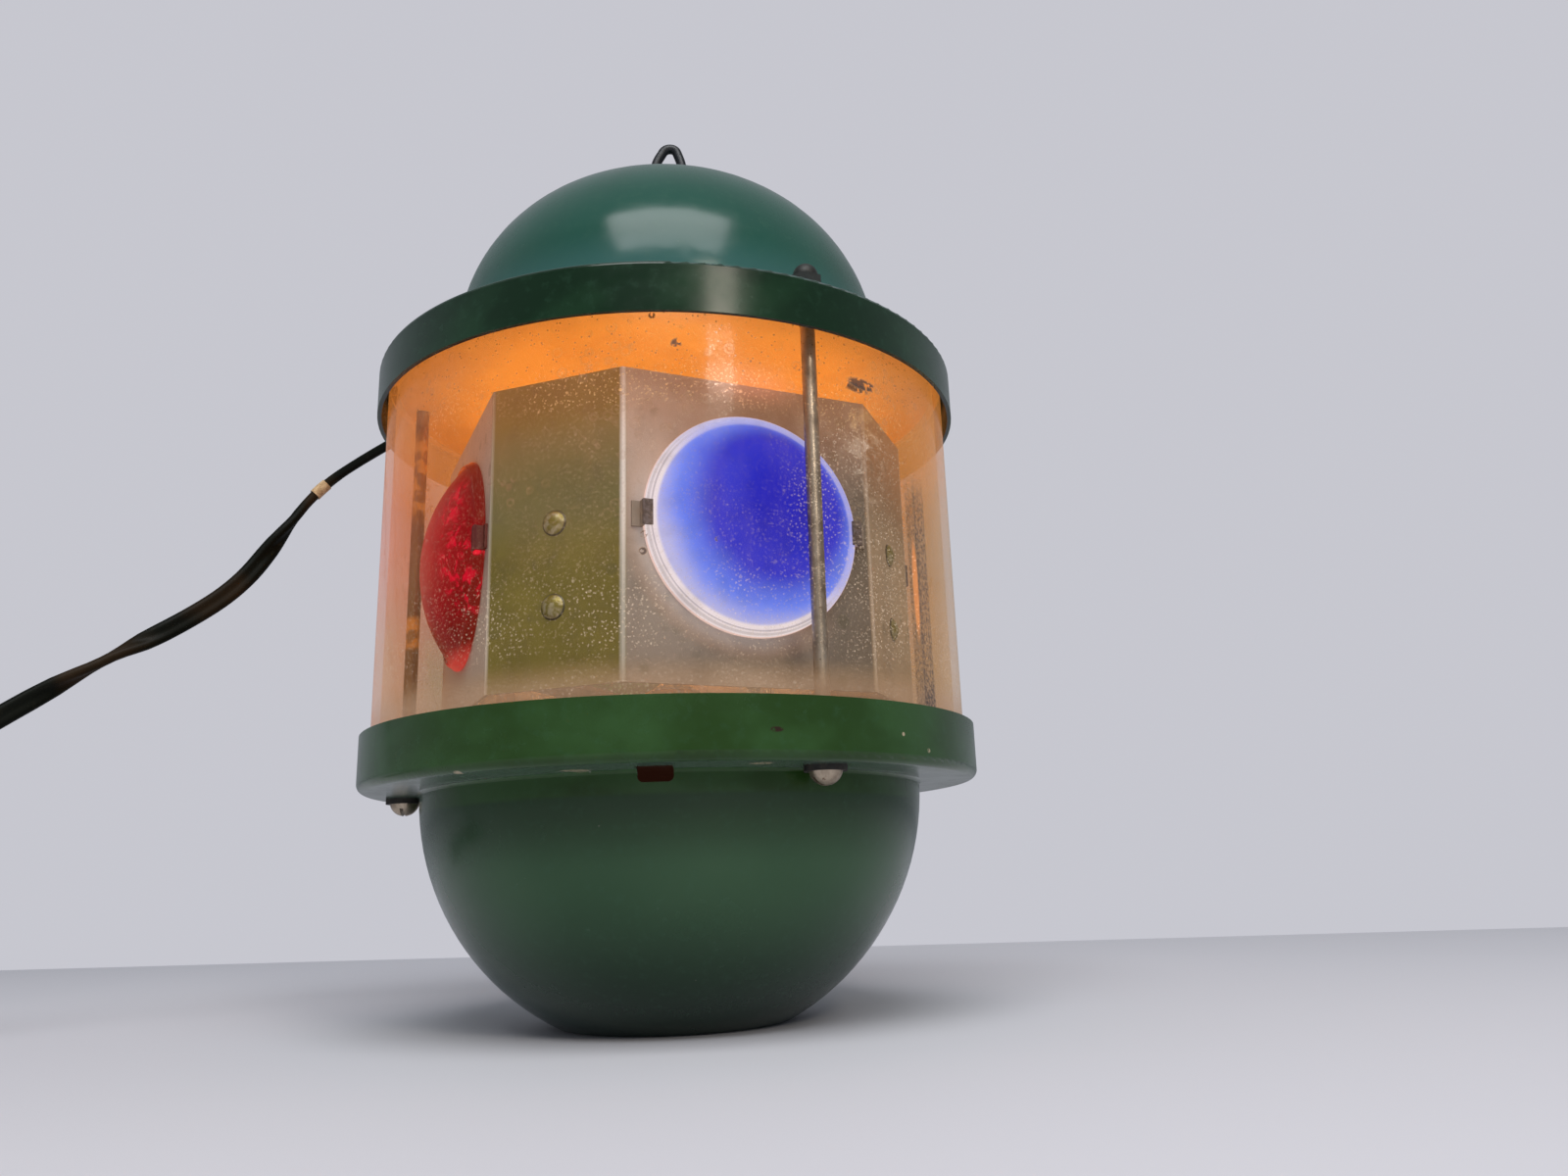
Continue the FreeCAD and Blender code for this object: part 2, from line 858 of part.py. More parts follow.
def plates():
    """The reflector plate over the tube and the base plate under it."""
    low, thick = base_plate_low(), sizes.plate_thickness
    lead_x, lead_y = lead_spot(sizes.lead_floor_radius)
    drills = [
        rod("spindle_hole", sizes.spindle_radius + sizes.seat_gap, thick, z=low),
        rod("motor_boss_hole", sizes.motor_boss_radius + sizes.hole_gap, thick, y=gear_distance(), z=low),
        rod("floor_lead_hole", 2.0 * sizes.lead_radius, thick, lead_x, lead_y, low),
    ]
    for index, side in enumerate((-1.0, 1.0)):
        spot = side * sizes.motor_lug_reach
        radius = sizes.motor_screw_radius + sizes.seat_gap
        drills.append(rod(f"motor_screw_hole_{index}", radius, thick, spot, gear_distance(), low))
    plate("lower_plate", low, drills, "base_plate")
    lead_x, lead_y = lead_spot(sizes.lead_hole_radius)
    drills = [
        rod("holder_hole", sizes.holder_radius + sizes.seat_gap, thick, z=reflector_low()),
        rod("roof_lead_hole", 2.0 * sizes.lead_radius, thick, lead_x, lead_y, reflector_low()),
    ]
    plate("upper_plate", reflector_low(), drills, "reflector_plate")


def clear_tube():
    height = reflector_low() - base_plate_top()
    inner = sizes.tube_radius - sizes.tube_wall
    node(tube("window_tube", sizes.tube_radius, inner, height, base_plate_top()), "clear_tube")


def tie_bolts():
    """Three long bolts from under the base rim to above the cap's shoulder, with washers and domed nuts."""
    bolts, low_washers, high_washers, nuts = [], [], [], []
    seat = sizes.cap_shoulder + sizes.nut_washer
    reach = seat + sizes.nut_height - (sizes.base_underside - sizes.fibre_washer)
    for index, bearing in enumerate(around(3, sizes.bolt_bearing)):
        x, y = bolt_spot(bearing)
        under = sizes.base_underside - sizes.fibre_washer
        bolt = screw(
            f"tie_bolt_{index}",
            sizes.bolt_radius,
            reach,
            sizes.bolt_head_radius,
            sizes.bolt_head_height,
            sizes.bolt_slot,
            sizes.bolt_slot_depth,
        )
        bolts.append(put(bolt, x, y, under, about_z(bearing) * Rotation(Vector(1, 0, 0), 180)))
        bore = sizes.bolt_radius + sizes.seat_gap
        for name, rings, thick, z in (
            ("fibre_washer", low_washers, sizes.fibre_washer, under),
            ("nut_washer", high_washers, sizes.nut_washer, sizes.cap_shoulder),
        ):
            ring = tube(f"{name}_{index}", sizes.washer_radius, bore, thick, 0.0 * thick)
            rings.append(put(ring, x, y, z))
        crown = put(
            make("Part::Sphere", f"nut_crown_{index}", Radius=sizes.nut_dome), z=sizes.nut_height + 0.6
        )
        flats = hexagon(f"nut_flats_{index}", sizes.nut_flats, sizes.nut_height)
        blank = join(f"nut_blank_{index}", flats, crown)
        nut = cut(f"nut_{index}", blank, rod(f"nut_bore_{index}", bore, sizes.nut_height + 0.4))
        nuts.append(put(nut, x, y, seat, about_z(bearing)))
    node(group("bolt_set", bolts), "tie_bolts")
    node(group("fibre_washer_set", low_washers), "fibre_washers")
    node(group("nut_washer_set", high_washers), "nut_washers")
    node(group("nut_set", nuts), "cap_nuts")


# ---------------------------------------------------------------- drum


def prism_of_eight(name, inset):
    """The drum's eight-sided outline as a prism, set in by a wall."""
    height = sizes.drum_high - sizes.drum_low
    sides = []
    for part, apothem, extra in (
        ("wide", sizes.drum_wide_apothem, 0.0),
        ("narrow", sizes.drum_narrow_apothem, 45.0),
    ):
        half = apothem - inset
        side = block(f"{name}_{part}", 2.0 * half, 2.0 * half, height)
        turn = about_z(sizes.drum_turn + extra)
        corner = turn.multVec(Vector(-plain(half), -plain(half), 0))
        sides.append(put(side, corner.x, corner.y, sizes.drum_low, turn))
    return common(name, *sides)


def cross_drills(name, radius, z, extra, reach):
    """Two level drills through the drum, square to each other."""
    drills = []
    for index in range(2):
        bearing = sizes.drum_turn + extra + 90.0 * index
        back = compass(bearing) * -reach
        drills.append(
            rod(f"{name}_{index}", radius, 2.0 * reach, back.x, back.y, z, turn=outward(bearing))
        )
    return drills


def drum_shell():
    """Folded sheet with four wide faces, each open behind its lens, and four narrow ones."""
    reach = plain(sizes.rim_radius)
    blank = cut("drum_folded", prism_of_eight("drum_outside", 0.0 * sizes.drum_wall), prism_of_eight("drum_inside", sizes.drum_wall))
    tools = cross_drills("lens_drill", sizes.lens_opening, sizes.lens_height, 0.0, reach)
    for level, height in (("low", sizes.rivet_low), ("high", sizes.rivet_high)):
        tools += cross_drills(f"rivet_drill_{level}", sizes.rivet_radius + sizes.seat_gap, height, 45.0, reach)
    node(cut("drum_drilled", blank, *tools), "drum_shell")


def on_face(thing, bearing, apothem, height):
    """Seat a thing on a drum face, its own +Z pointing outwards."""
    at = compass(bearing) * plain(apothem)
    return put(thing, at.x, at.y, height, outward(bearing))


def lenses():
    """A domed lens with a flat rim on each wide face, held by two clips."""
    wall = sizes.lens_wall
    rim, dome, bulge = sizes.lens_radius, sizes.lens_dome_radius, sizes.lens_bulge
    rise = bulge - sizes.lens_rim
    ball = (dome * dome + rise * rise) / (2.0 * rise)
    mouth = root((ball - wall) * (ball - wall) - (ball - bulge) * (ball - bulge))
    corners = [
        (0, bulge),
        (dome, sizes.lens_rim),
        (rim, sizes.lens_rim),
        (rim, 0),
        (mouth, 0),
        (0, bulge - wall),
    ]
    clips = []
    for index, colour in enumerate(("blue", "amber", "green", "red")):
        bearing = sizes.drum_turn + 90.0 * index
        body = turned(f"lens_{index}", [(x, y) for x, y in corners[::-1]], {0: -(ball - wall), 4: ball})
        node(on_face(body, bearing, sizes.drum_wide_apothem, sizes.lens_height), f"lens_{colour}")
        for side in (0, 180):
            clip = lens_clip(f"lens_clip_{index}_{side}")
            clip.Placement = body.Placement * Placement(Vector(), Rotation(Vector(0, 0, 1), side))
            clips.append(clip)
    node(group("clip_set", clips), "lens_clips")


def lens_clip(name):
    """A stepped sheet clip: a foot on the drum, a riser beside the lens and a lip over its rim."""
    sheet, width = sizes.clip_sheet, sizes.clip_width
    riser = sizes.lens_radius + sizes.seat_gap
    top = sizes.lens_rim + sizes.seat_gap
    foot = block(f"{name}_foot", sizes.clip_foot, width, sheet, riser, width / -2.0)
    wall = block(f"{name}_riser", sheet, width, top + sheet, riser, width / -2.0)
    lip = block(f"{name}_lip", sizes.clip_lap + sheet, width, sheet, riser - sizes.clip_lap, width / -2.0, top)
    return join(name, foot, wall, lip)


def drum_carrier():
    """A four-armed strip carrier: its arms run out under the drum and turn up inside the narrow faces."""
    sheet, arm = sizes.carrier_sheet, sizes.carrier_arm
    reach = sizes.drum_narrow_apothem - sizes.drum_wall
    bars = [rod("carrier_disc_blank", sizes.carrier_disc, sheet, z=sizes.drum_low)]
    for index in range(4):
        turn = about_z(sizes.drum_turn + 45.0 + 90.0 * index)
        for part, length, height, start in (
            ("arm", reach, sheet, 0.0 * reach),
            ("upright", sheet, sizes.carrier_top - sizes.drum_low, reach - sheet),
        ):
            corner = turn.multVec(Vector(-plain(arm) / 2, -plain(start + length), 0))
            bar = block(f"carrier_{part}_{index}", arm, length, height)
            bars.append(put(bar, corner.x, corner.y, sizes.drum_low, turn))
    tools = [rod("carrier_bore", sizes.hub_radius + sizes.seat_gap, sheet, z=sizes.drum_low)]
    radius = sizes.hub_screw_radius + sizes.seat_gap
    for index, bearing in enumerate(hub_screw_bearings()):
        x, y = hub_screw_spot(bearing)
        tools.append(rod(f"carrier_screw_hole_{index}", radius, sheet, x, y, sizes.drum_low))
    for level, height in (("low", sizes.rivet_low), ("high", sizes.rivet_high)):
        tools += cross_drills(
            f"arm_drill_{level}", sizes.rivet_radius + sizes.seat_gap, height, 45.0, plain(sizes.rim_radius)
        )
    node(cut("carrier", join("carrier_blank", *bars), *tools), "drum_carrier")


def drum_rivets():
    """Two domed rivets through each narrow face and the carrier arm behind it."""
    stack = sizes.drum_wall + sizes.carrier_sheet
    rivets = []
    for face in range(4):
        bearing = sizes.drum_turn + 45.0 + 90.0 * face
        for level, height in (("low", sizes.rivet_low), ("high", sizes.rivet_high)):
            name = f"rivet_{face}_{level}"
            tall = sizes.rivet_head_height
            ball = (sizes.rivet_head * sizes.rivet_head + tall * tall) / (2.0 * tall)
            head = common(
                f"{name}_head",
                put(make("Part::Sphere", f"{name}_ball", Radius=ball), z=tall - ball),
                rod(f"{name}_blank", sizes.rivet_head, tall),
            )
            shank = rod(f"{name}_shank", sizes.rivet_radius, stack, z=-stack)
            tail = rod(f"{name}_tail", sizes.rivet_head - 0.6, tall - 0.3, z=-stack - tall + 0.3)
            rivet = join(name, head, shank, tail)
            rivets.append(on_face(rivet, bearing, sizes.drum_narrow_apothem, height))
    node(group("rivet_set", rivets), "drum_rivets")


# ---------------------------------------------------------------- bearing, gears and motor


def hub_low():
    collar = base_plate_top() + sizes.spindle_collar_height
    return collar + sizes.thrust_washer + sizes.thrust_gap


def hub_screw_bearings():
    return around(3, sizes.drum_turn)


def hub_screw_spot(bearing):
    return sizes.hub_screw_circle * sine(bearing), -(sizes.hub_screw_circle * cosine(bearing))


def drum_bearing():
    """A fixed spindle on the base plate, the hub that turns on it, and what keeps the hub there."""
    plate_low, plate_top = base_plate_low(), base_plate_top()
    radius, collar = sizes.spindle_radius, sizes.spindle_collar
    collar_top = plate_top + sizes.spindle_collar_height
    groove_low = sizes.hub_top + 0.4
    groove = radius - 0.6
    tail = plate_low - sizes.spindle_nut_height - 1.0
    spindle = turned(
        "spindle",
        [
            (0, tail),
            (radius, tail),
            (radius, plate_top),
            (collar, plate_top),
            (collar, collar_top),
            (radius, collar_top),
            (radius, groove_low),
            (groove, groove_low),
            (groove, groove_low + sizes.hub_clip),
            (radius, groove_low + sizes.hub_clip),
            (radius, sizes.spindle_top),
            (0, sizes.spindle_top),
        ],
    )
    node(spindle, "drum_spindle")
    bore = radius + sizes.seat_gap
    nut_low = plate_low - sizes.spindle_nut_height
    flats = hexagon("spindle_nut_flats", sizes.spindle_nut_flats, sizes.spindle_nut_height, nut_low)
    nut_bore = rod("spindle_nut_bore", bore, sizes.spindle_nut_height, z=nut_low)
    node(cut("spindle_nut_cut", flats, nut_bore), "spindle_nut")
    washer = tube("thrust_ring", sizes.hub_radius, bore, sizes.thrust_washer, collar_top)
    node(washer, "thrust_washer")
    clip = tube("hub_clip_ring", sizes.hub_clip_radius, groove + 0.02, sizes.hub_clip, groove_low)
    node(clip, "hub_clip")
    hub_bore = radius + sizes.run_gap
    flange_low = sizes.drum_low - sizes.hub_flange
    hub = turned(
        "hub",
        [
            (hub_bore, hub_low()),
            (sizes.hub_radius, hub_low()),
            (sizes.hub_radius, flange_low),
            (sizes.hub_flange_radius, flange_low),
            (sizes.hub_flange_radius, sizes.drum_low),
            (sizes.hub_radius, sizes.drum_low),
            (sizes.hub_radius, sizes.hub_top),
            (hub_bore, sizes.hub_top),
        ],
    )
    drills, screws = [], []
    tall = 0.6 * sizes.hub_flange
    seat = sizes.drum_low + sizes.carrier_sheet
    for index, bearing in enumerate(hub_screw_bearings()):
        x, y = hub_screw_spot(bearing)
        hole = sizes.hub_screw_radius + sizes.seat_gap
        drills.append(rod(f"hub_tap_{index}", hole, sizes.hub_flange, x, y, flange_low))
        small = screw(
            f"hub_screw_{index}",
            sizes.hub_screw_radius,
            sizes.carrier_sheet + 0.8 * sizes.hub_flange,
            2.0 * sizes.hub_screw_radius,
            tall,
            sizes.hub_screw_radius / 2.0,
            tall / 2.0,
        )
        screws.append(put(small, x, y, seat, about_z(bearing)))
    node(cut("hub_drilled", hub, *drills), "drum_hub")
    node(group("hub_screw_set", screws), "hub_screws")


def gear_blank(teeth, module, thickness, bore, gap_first):
    """A spur gear of straight-sided teeth with running backlash, its first tooth or gap towards +Y."""
    pitch = teeth * module / 2
    step = 2 * math.pi / teeth
    root_radius, tip_radius = pitch - 1.15 * module, pitch + 0.85 * module
    start = math.pi / 2 + (step / 2 if gap_first else 0.0)
    points = []
    for index in range(teeth):
        middle = start + index * step
        for radius, half in (
            (root_radius, 0.34),
            (tip_radius, 0.13),
            (tip_radius, -0.13),
            (root_radius, -0.34),
        ):
            angle = middle - half * step
            points.append(Vector(radius * math.cos(angle), radius * math.sin(angle), 0))
    ring = Part.Face(Part.makePolygon(points + points[:1]))
    blank = ring.extrude(Vector(0, 0, thickness))
    return blank.cut(Part.makeCylinder(bore, thickness))


def gears():
    """The drum's gear under its hub flange, and the motor's pinion behind it."""
    module = plain(sizes.gear_module)
    gear_top = sizes.drum_low - sizes.hub_flange
    gear = gear_blank(
        int(SIZES["gear_teeth"]),
        module,
        plain(sizes.gear_face),
        plain(sizes.hub_radius + sizes.seat_gap),
        False,
    )
    wheel = solid("drum_wheel", gear)
    node(put(wheel, z=gear_top - sizes.gear_face), "drum_gear")
    pinion = gear_blank(
        int(SIZES["pinion_teeth"]),
        module,
        plain(sizes.pinion_face),
        plain(sizes.motor_shaft_radius + sizes.seat_gap),
        True,
    )
    pinion.rotate(Vector(), Vector(0, 0, 1), 180)
    small = solid("motor_wheel", pinion)
    overhang = (sizes.pinion_face - sizes.gear_face) / 2.0
    node(put(small, y=gear_distance(), z=gear_top - sizes.gear_face - overhang), "motor_pinion")


def motor():
    """A geared motor hung under the base plate by two lugs, its shaft standing up beside the drum's gear."""
    top = base_plate_low()
    low = top - sizes.motor_height
    back = gear_distance()
    can = rod("motor_can", sizes.motor_radius, sizes.motor_height, y=back, z=low)
    boss = rod("motor_boss_blank", sizes.motor_boss_radius, sizes.motor_boss, y=back, z=top)
    ear = block(
        "motor_ears",
        2.0 * (sizes.motor_lug_reach + sizes.motor_lug_width / 2.0),
        sizes.motor_lug_width,
        sizes.motor_lug_sheet,
        -(sizes.motor_lug_reach + sizes.motor_lug_width / 2.0),
        back - sizes.motor_lug_width / 2.0,
        top - sizes.motor_lug_sheet,
    )
    well = low + sizes.motor_height / 2.0
    bore = sizes.motor_shaft_radius + sizes.run_gap
    drills = [rod("motor_bore", bore, top + sizes.motor_boss - well, y=back, z=well)]
    screws, nuts = [], []
    for index, side in enumerate((-1.0, 1.0)):
        x = side * sizes.motor_lug_reach
        hole = sizes.motor_screw_radius + sizes.seat_gap
        drills.append(rod(f"motor_lug_hole_{index}", hole, sizes.motor_height, x, back, low))
        small = screw(
            f"motor_screw_{index}",
            sizes.motor_screw_radius,
            sizes.plate_thickness + sizes.motor_lug_sheet + 3.0,
            2.0 * sizes.motor_screw_radius - 0.2,
            1.2 * sizes.motor_screw_radius,
            sizes.motor_screw_radius / 2.0,
            0.6 * sizes.motor_screw_radius,
        )
        screws.append(put(small, x, back, base_plate_top()))
        nut_height = 1.6 * sizes.motor_screw_radius
        flats = hexagon(f"motor_nut_flats_{index}", 3.6 * sizes.motor_screw_radius, nut_height)
        nut = cut(f"motor_nut_{index}", flats, rod(f"motor_nut_bore_{index}", hole, nut_height))
        nuts.append(put(nut, x, back, top - sizes.motor_lug_sheet - nut_height))
    node(cut("motor_housing", join("motor_blank", can, boss, ear), *drills), "motor_case")
    node(group("motor_screw_set", screws), "motor_screws")
    node(group("motor_nut_set", nuts), "motor_nuts")
    shaft_top = sizes.drum_low - sizes.hub_flange + (sizes.pinion_face - sizes.gear_face) / 2.0
    shaft_low = well + sizes.thrust_gap
    shaft = rod("motor_spindle", sizes.motor_shaft_radius, shaft_top + 0.6 - shaft_low, y=back, z=shaft_low)
    node(shaft, "motor_shaft")


# ---------------------------------------------------------------- lampholder and bulb


def lampholder():
    """A moulded holder through the reflector plate: collar below, ring nut above, brass screw shell inside."""
    radius, bore, collar = sizes.holder_radius, sizes.holder_bore, sizes.holder_collar_radius
    low, high, floor = sizes.holder_low, sizes.holder_high, sizes.holder_floor
    seat = reflector_low()
    corners = [
        (0, floor),
        (bore, floor),
        (bore, low),
        (radius, low),
        (radius, seat - sizes.holder_collar),
        (collar, seat - sizes.holder_collar),
        (collar, seat),
        (radius, seat),
        (radius, high),
        (0, high),
    ]
    node(turned("holder", corners), "lampholder_body")
    ring_bore = radius + sizes.seat_gap
    node(tube("holder_nut", collar, ring_bore, sizes.holder_ring, reflector_top()), "lampholder_ring")
    shell = bore - sizes.seat_gap
    shell_bore = shell - sizes.holder_shell_wall
    shell_height = sizes.bulb_cap_high - sizes.bulb_cap_low
    node(tube("holder_thread", shell, shell_bore, shell_height, sizes.bulb_cap_low + 1.0), "lampholder_shell")
    contact_low = sizes.bulb_cap_high + sizes.bulb_tip
    contact = rod("holder_contact", bore / 2.0, floor - contact_low, z=contact_low)
    node(contact, "lampholder_contact")


def bulb():
    """A round bulb, cap up: a blown glass, a glass stem, a filament and a screw cap with its tip."""
    radius, centre, glass = sizes.bulb_radius, sizes.bulb_centre, sizes.bulb_glass
    neck = sizes.bulb_neck_radius
    inner, inner_neck = radius - glass, neck - glass
    top = sizes.bulb_cap_low + 4.0
    shoulder = centre + root(radius * radius - neck * neck)
    inner_shoulder = centre + root(inner * inner - inner_neck * inner_neck)
    equator, inner_equator = (radius, centre), (inner, centre)
    corners = [
        (0, centre - radius),
        equator,
        (neck, shoulder),
        (neck, top),
        (inner_neck, top),
        (inner_neck, inner_shoulder),
        inner_equator,
        (0, centre - inner),
    ]
    arcs = {0: radius, 1: radius, 5: -inner, 6: -inner}
    node(turned("bulb_blown", corners, arcs), "bulb_glass")
    stem_low = centre + radius / 2.0
    stem = turned(
        "bulb_mount",
        [
            (0, stem_low),
            (0.35 * inner_neck, stem_low),
            (0.35 * inner_neck, top - 5.0),
            (inner_neck - sizes.seat_gap, top - 1.0),
            (inner_neck - sizes.seat_gap, top),
            (0, top),
        ],
    )
    node(stem, "bulb_stem")
    half = plain(inner_neck)
    drop, wire = plain(stem_low) - 14.0, 0.35
    foot = plain(stem_low) + 1.0
    points = [
        Vector(-0.2 * half, 0, foot),
        Vector(-1.5 * half, 0, drop),
        Vector(0, 0, drop - 3.0),
        Vector(1.5 * half, 0, drop),
        Vector(0.2 * half, 0, foot),
    ]
    filament, _ = along(points, [0.8, 2.0, 0.8], wire)
    node(solid("bulb_wire", filament), "bulb_filament")
    cap, cap_wall = sizes.bulb_cap_radius, 0.4
    tip_top = sizes.bulb_cap_high + sizes.bulb_tip - sizes.run_gap
    corners = [
        (neck + sizes.seat_gap, sizes.bulb_cap_low),
        (cap, sizes.bulb_cap_low),
        (cap, sizes.bulb_cap_high),
        (sizes.bulb_tip_radius, sizes.bulb_cap_high + 1.6),
        (sizes.bulb_tip_radius, tip_top),
        (0, tip_top),
        (0, sizes.bulb_cap_high),
        (cap - cap_wall, sizes.bulb_cap_high - cap_wall),
        (cap - cap_wall, top + cap_wall),
        (neck + sizes.seat_gap, top),
    ]
    node(turned("bulb_thread", corners), "bulb_cap")


# ---------------------------------------------------------------- wiring


def lead_spot(radius):
    return radius * sine(sizes.lead_bearing), -(radius * cosine(sizes.lead_bearing))


def wiring():
    """The terminal block on the reflector plate, the leads to the holder, and the lead down to the motor."""
    top = reflector_top()
    heading = compass(sizes.cord_bearing)
    turn = about_z(sizes.cord_bearing)
    length, width, height = sizes.block_width, sizes.block_length, sizes.block_height
    corner = heading * plain(sizes.block_radius + length / 2.0) + turn.multVec(Vector(-plain(width) / 2, 0, 0))
    body = put(block("terminal_blank", width, length, height), corner.x, corner.y, top, turn)
    drills, heads = [], []
    for index, side in enumerate((-1, 1)):
        spot = heading * plain(sizes.block_radius) + turn.multVec(Vector(side * plain(width) / 4, 0, 0))
        drills.append(rod(f"terminal_well_{index}", 2.2, 4.0, spot.x, spot.y, top + height - 4.0))
        pin = rod(f"terminal_screw_{index}", 2.1, 2.6, spot.x, spot.y, top + height - 4.0)
        heads.append(cut(f"terminal_head_{index}", pin, block(
            f"terminal_slot_{index}", 4.6, 0.6, 1.0, spot.x - 2.3, spot.y - 0.3, top + height - 2.2
        )))
    node(cut("terminal_drilled", body, *drills), "terminal_block")
    node(group("terminal_screw_set", heads), "terminal_screws")

    radius = plain(sizes.lead_radius)
    deck = plain(top) + 3.0
    block_in = heading * plain(sizes.block_radius - length / 2.0)
    side_step = turn.multVec(Vector(plain(width) / 4, 0, 0))
    ring_edge = plain(sizes.holder_collar_radius)
    leads = []
    for side in (-1, 1):
        step = side_step * side
        start = block_in + step + Vector(0, 0, deck)
        over = plain(sizes.holder_high) + 5.0
        near = heading * (ring_edge - 3.0) + step * 0.7
        drop = heading * (plain(sizes.holder_radius) / 2) + step * 0.5
        points = [
            start,
            start - heading * 3.0,
            near + Vector(0, 0, over),
            drop + Vector(0, 0, over),
            drop + Vector(0, 0, plain(sizes.holder_high)),
        ]
        lead, _ = along(points, [1.4, 2.0, 2.0], radius)
        leads.append(solid(f"lamp_lead_{side > 0}", lead))
    node(group("lamp_lead_pair", leads), "lamp_leads")

    def at(spot_radius, height):
        return compass(sizes.lead_bearing) * spot_radius + Vector(0, 0, height)

    roof, wall_run = plain(sizes.lead_hole_radius), plain(sizes.bolt_circle)
    floor_hole = plain(sizes.lead_floor_radius)
    under_roof = plain(reflector_low()) - 5.0
    over_floor = plain(base_plate_top()) + 6.0
    end = block_in.normalize() * 0.0
    side_out = heading * plain(sizes.block_radius) + turn.multVec(Vector(-plain(width) / 2, 0, 0))
    case = Vector(0, plain(gear_distance()), 0)
    inlet = at(floor_hole, 0)
    toward = (case - inlet).normalize()
    in_level = plain(base_plate_low()) - plain(sizes.motor_height) / 2
    inlet_end = case - toward * plain(sizes.motor_radius)
    points = [
        side_out + end + Vector(0, 0, deck),
        side_out + turn.multVec(Vector(-10, 0, 0)) + Vector(0, 0, deck),
        at(roof, deck),
        at(roof, under_roof),
        at(wall_run, under_roof),
        at(wall_run, over_floor),
        at(floor_hole, over_floor),
        at(floor_hole, in_level),
        inlet_end + Vector(0, 0, in_level),
    ]
    lead, _ = along(points, [4.0, 2.4, 2.0, 4.0, 3.2, 3.2, 3.0], radius)
    node(solid("motor_lead_wire", lead), "motor_lead")
    ties = []
    bolt = compass(sizes.bolt_bearing + 120.0) * wall_run
    wire = compass(sizes.lead_bearing) * wall_run
    for index, height in enumerate((plain(sizes.drum_low) + 4.0, plain(sizes.drum_high) - 5.0)):
        ties.append(solid(f"lead_tie_{index}", lead_tie(bolt, wire, height)))
    node(group("lead_tie_set", ties), "lead_ties")


def lead_tie(bolt, wire, height):
    """A flat band around a tie bolt and the lead beside it."""
    gap = plain(sizes.seat_gap)
    bolt_radius, wire_radius = plain(sizes.bolt_radius) + gap, plain(sizes.lead_radius) + gap
    band, tall = 0.8, 3.0
    lift = Vector(0, 0, height)
    outer = None
    inner = None
    for extra in (band, 0.0):
        ends = []
        for centre, radius in ((bolt, bolt_radius + extra), (wire, wire_radius + extra)):
            ends.append(Part.makeCylinder(radius, tall, centre + lift))
        across = (wire - bolt).normalize()
        square = Vector(-across.y, across.x, 0)
        corners = [
            bolt + square * (bolt_radius + extra),
            wire + square * (wire_radius + extra),
            wire - square * (wire_radius + extra),
            bolt - square * (bolt_radius + extra),
        ]
        web = Part.Face(Part.makePolygon([point + lift for point in corners + corners[:1]]))
        shape = ends[0].fuse([ends[1], web.extrude(Vector(0, 0, tall))]).removeSplitter()
        if outer is None:
            outer = shape
        else:
            inner = shape
    return outer.cut(inner)


# ---------------------------------------------------------------- mains cord


def cord_exit():
    return compass(sizes.cord_bearing) * plain(sizes.relief_end) + Vector(0, 0, plain(sizes.cord_height))


def strain_relief():
    """A tapered rubber sleeve through the dome's wall, with a flange on each side of the sheet."""
    flange, wall = sizes.relief_flange, sizes.wall
    dome = sizes.dome_radius - wall
    reach = sizes.relief_flange_radius
    gap = sizes.seat_gap
    inside = root(dome * dome - reach * reach) - flange - gap
    length = sizes.relief_end - sizes.dome_radius
    heading = compass(sizes.cord_bearing)

    def at(radius):
        return heading * plain(radius) + Vector(0, 0, plain(sizes.cord_height))

    turn = outward(sizes.cord_bearing)
    neck = rod("relief_neck", sizes.relief_radius, sizes.dome_radius + flange - inside)
    start = at(inside)
    put(neck, start.x, start.y, start.z, turn)
    cone = make(
        "Part::Cone",
        "relief_cone",
        Radius1=sizes.relief_radius,
        Radius2=sizes.relief_tip_radius,
        Height=length - flange,
    )
    start = at(sizes.dome_radius + flange)
    put(cone, start.x, start.y, start.z, turn)
    outer = rod("relief_outer_flange", sizes.relief_flange_radius, flange)
    start = at(sizes.dome_radius + gap)
    put(outer, start.x, start.y, start.z, turn)
    inner = rod("relief_inner_flange", sizes.relief_flange_radius, flange)
    start = at(inside)
    put(inner, start.x, start.y, start.z, turn)
    blank = join("relief_blank", neck, cone, outer, inner)
    start = at(inside - 1.0)
    bore = rod("relief_bore", sizes.cord_radius + gap, sizes.relief_end - inside + 2.0)
    put(bore, start.x, start.y, start.z, turn)
    node(cut("relief_sleeve", blank, bore), "strain_relief")


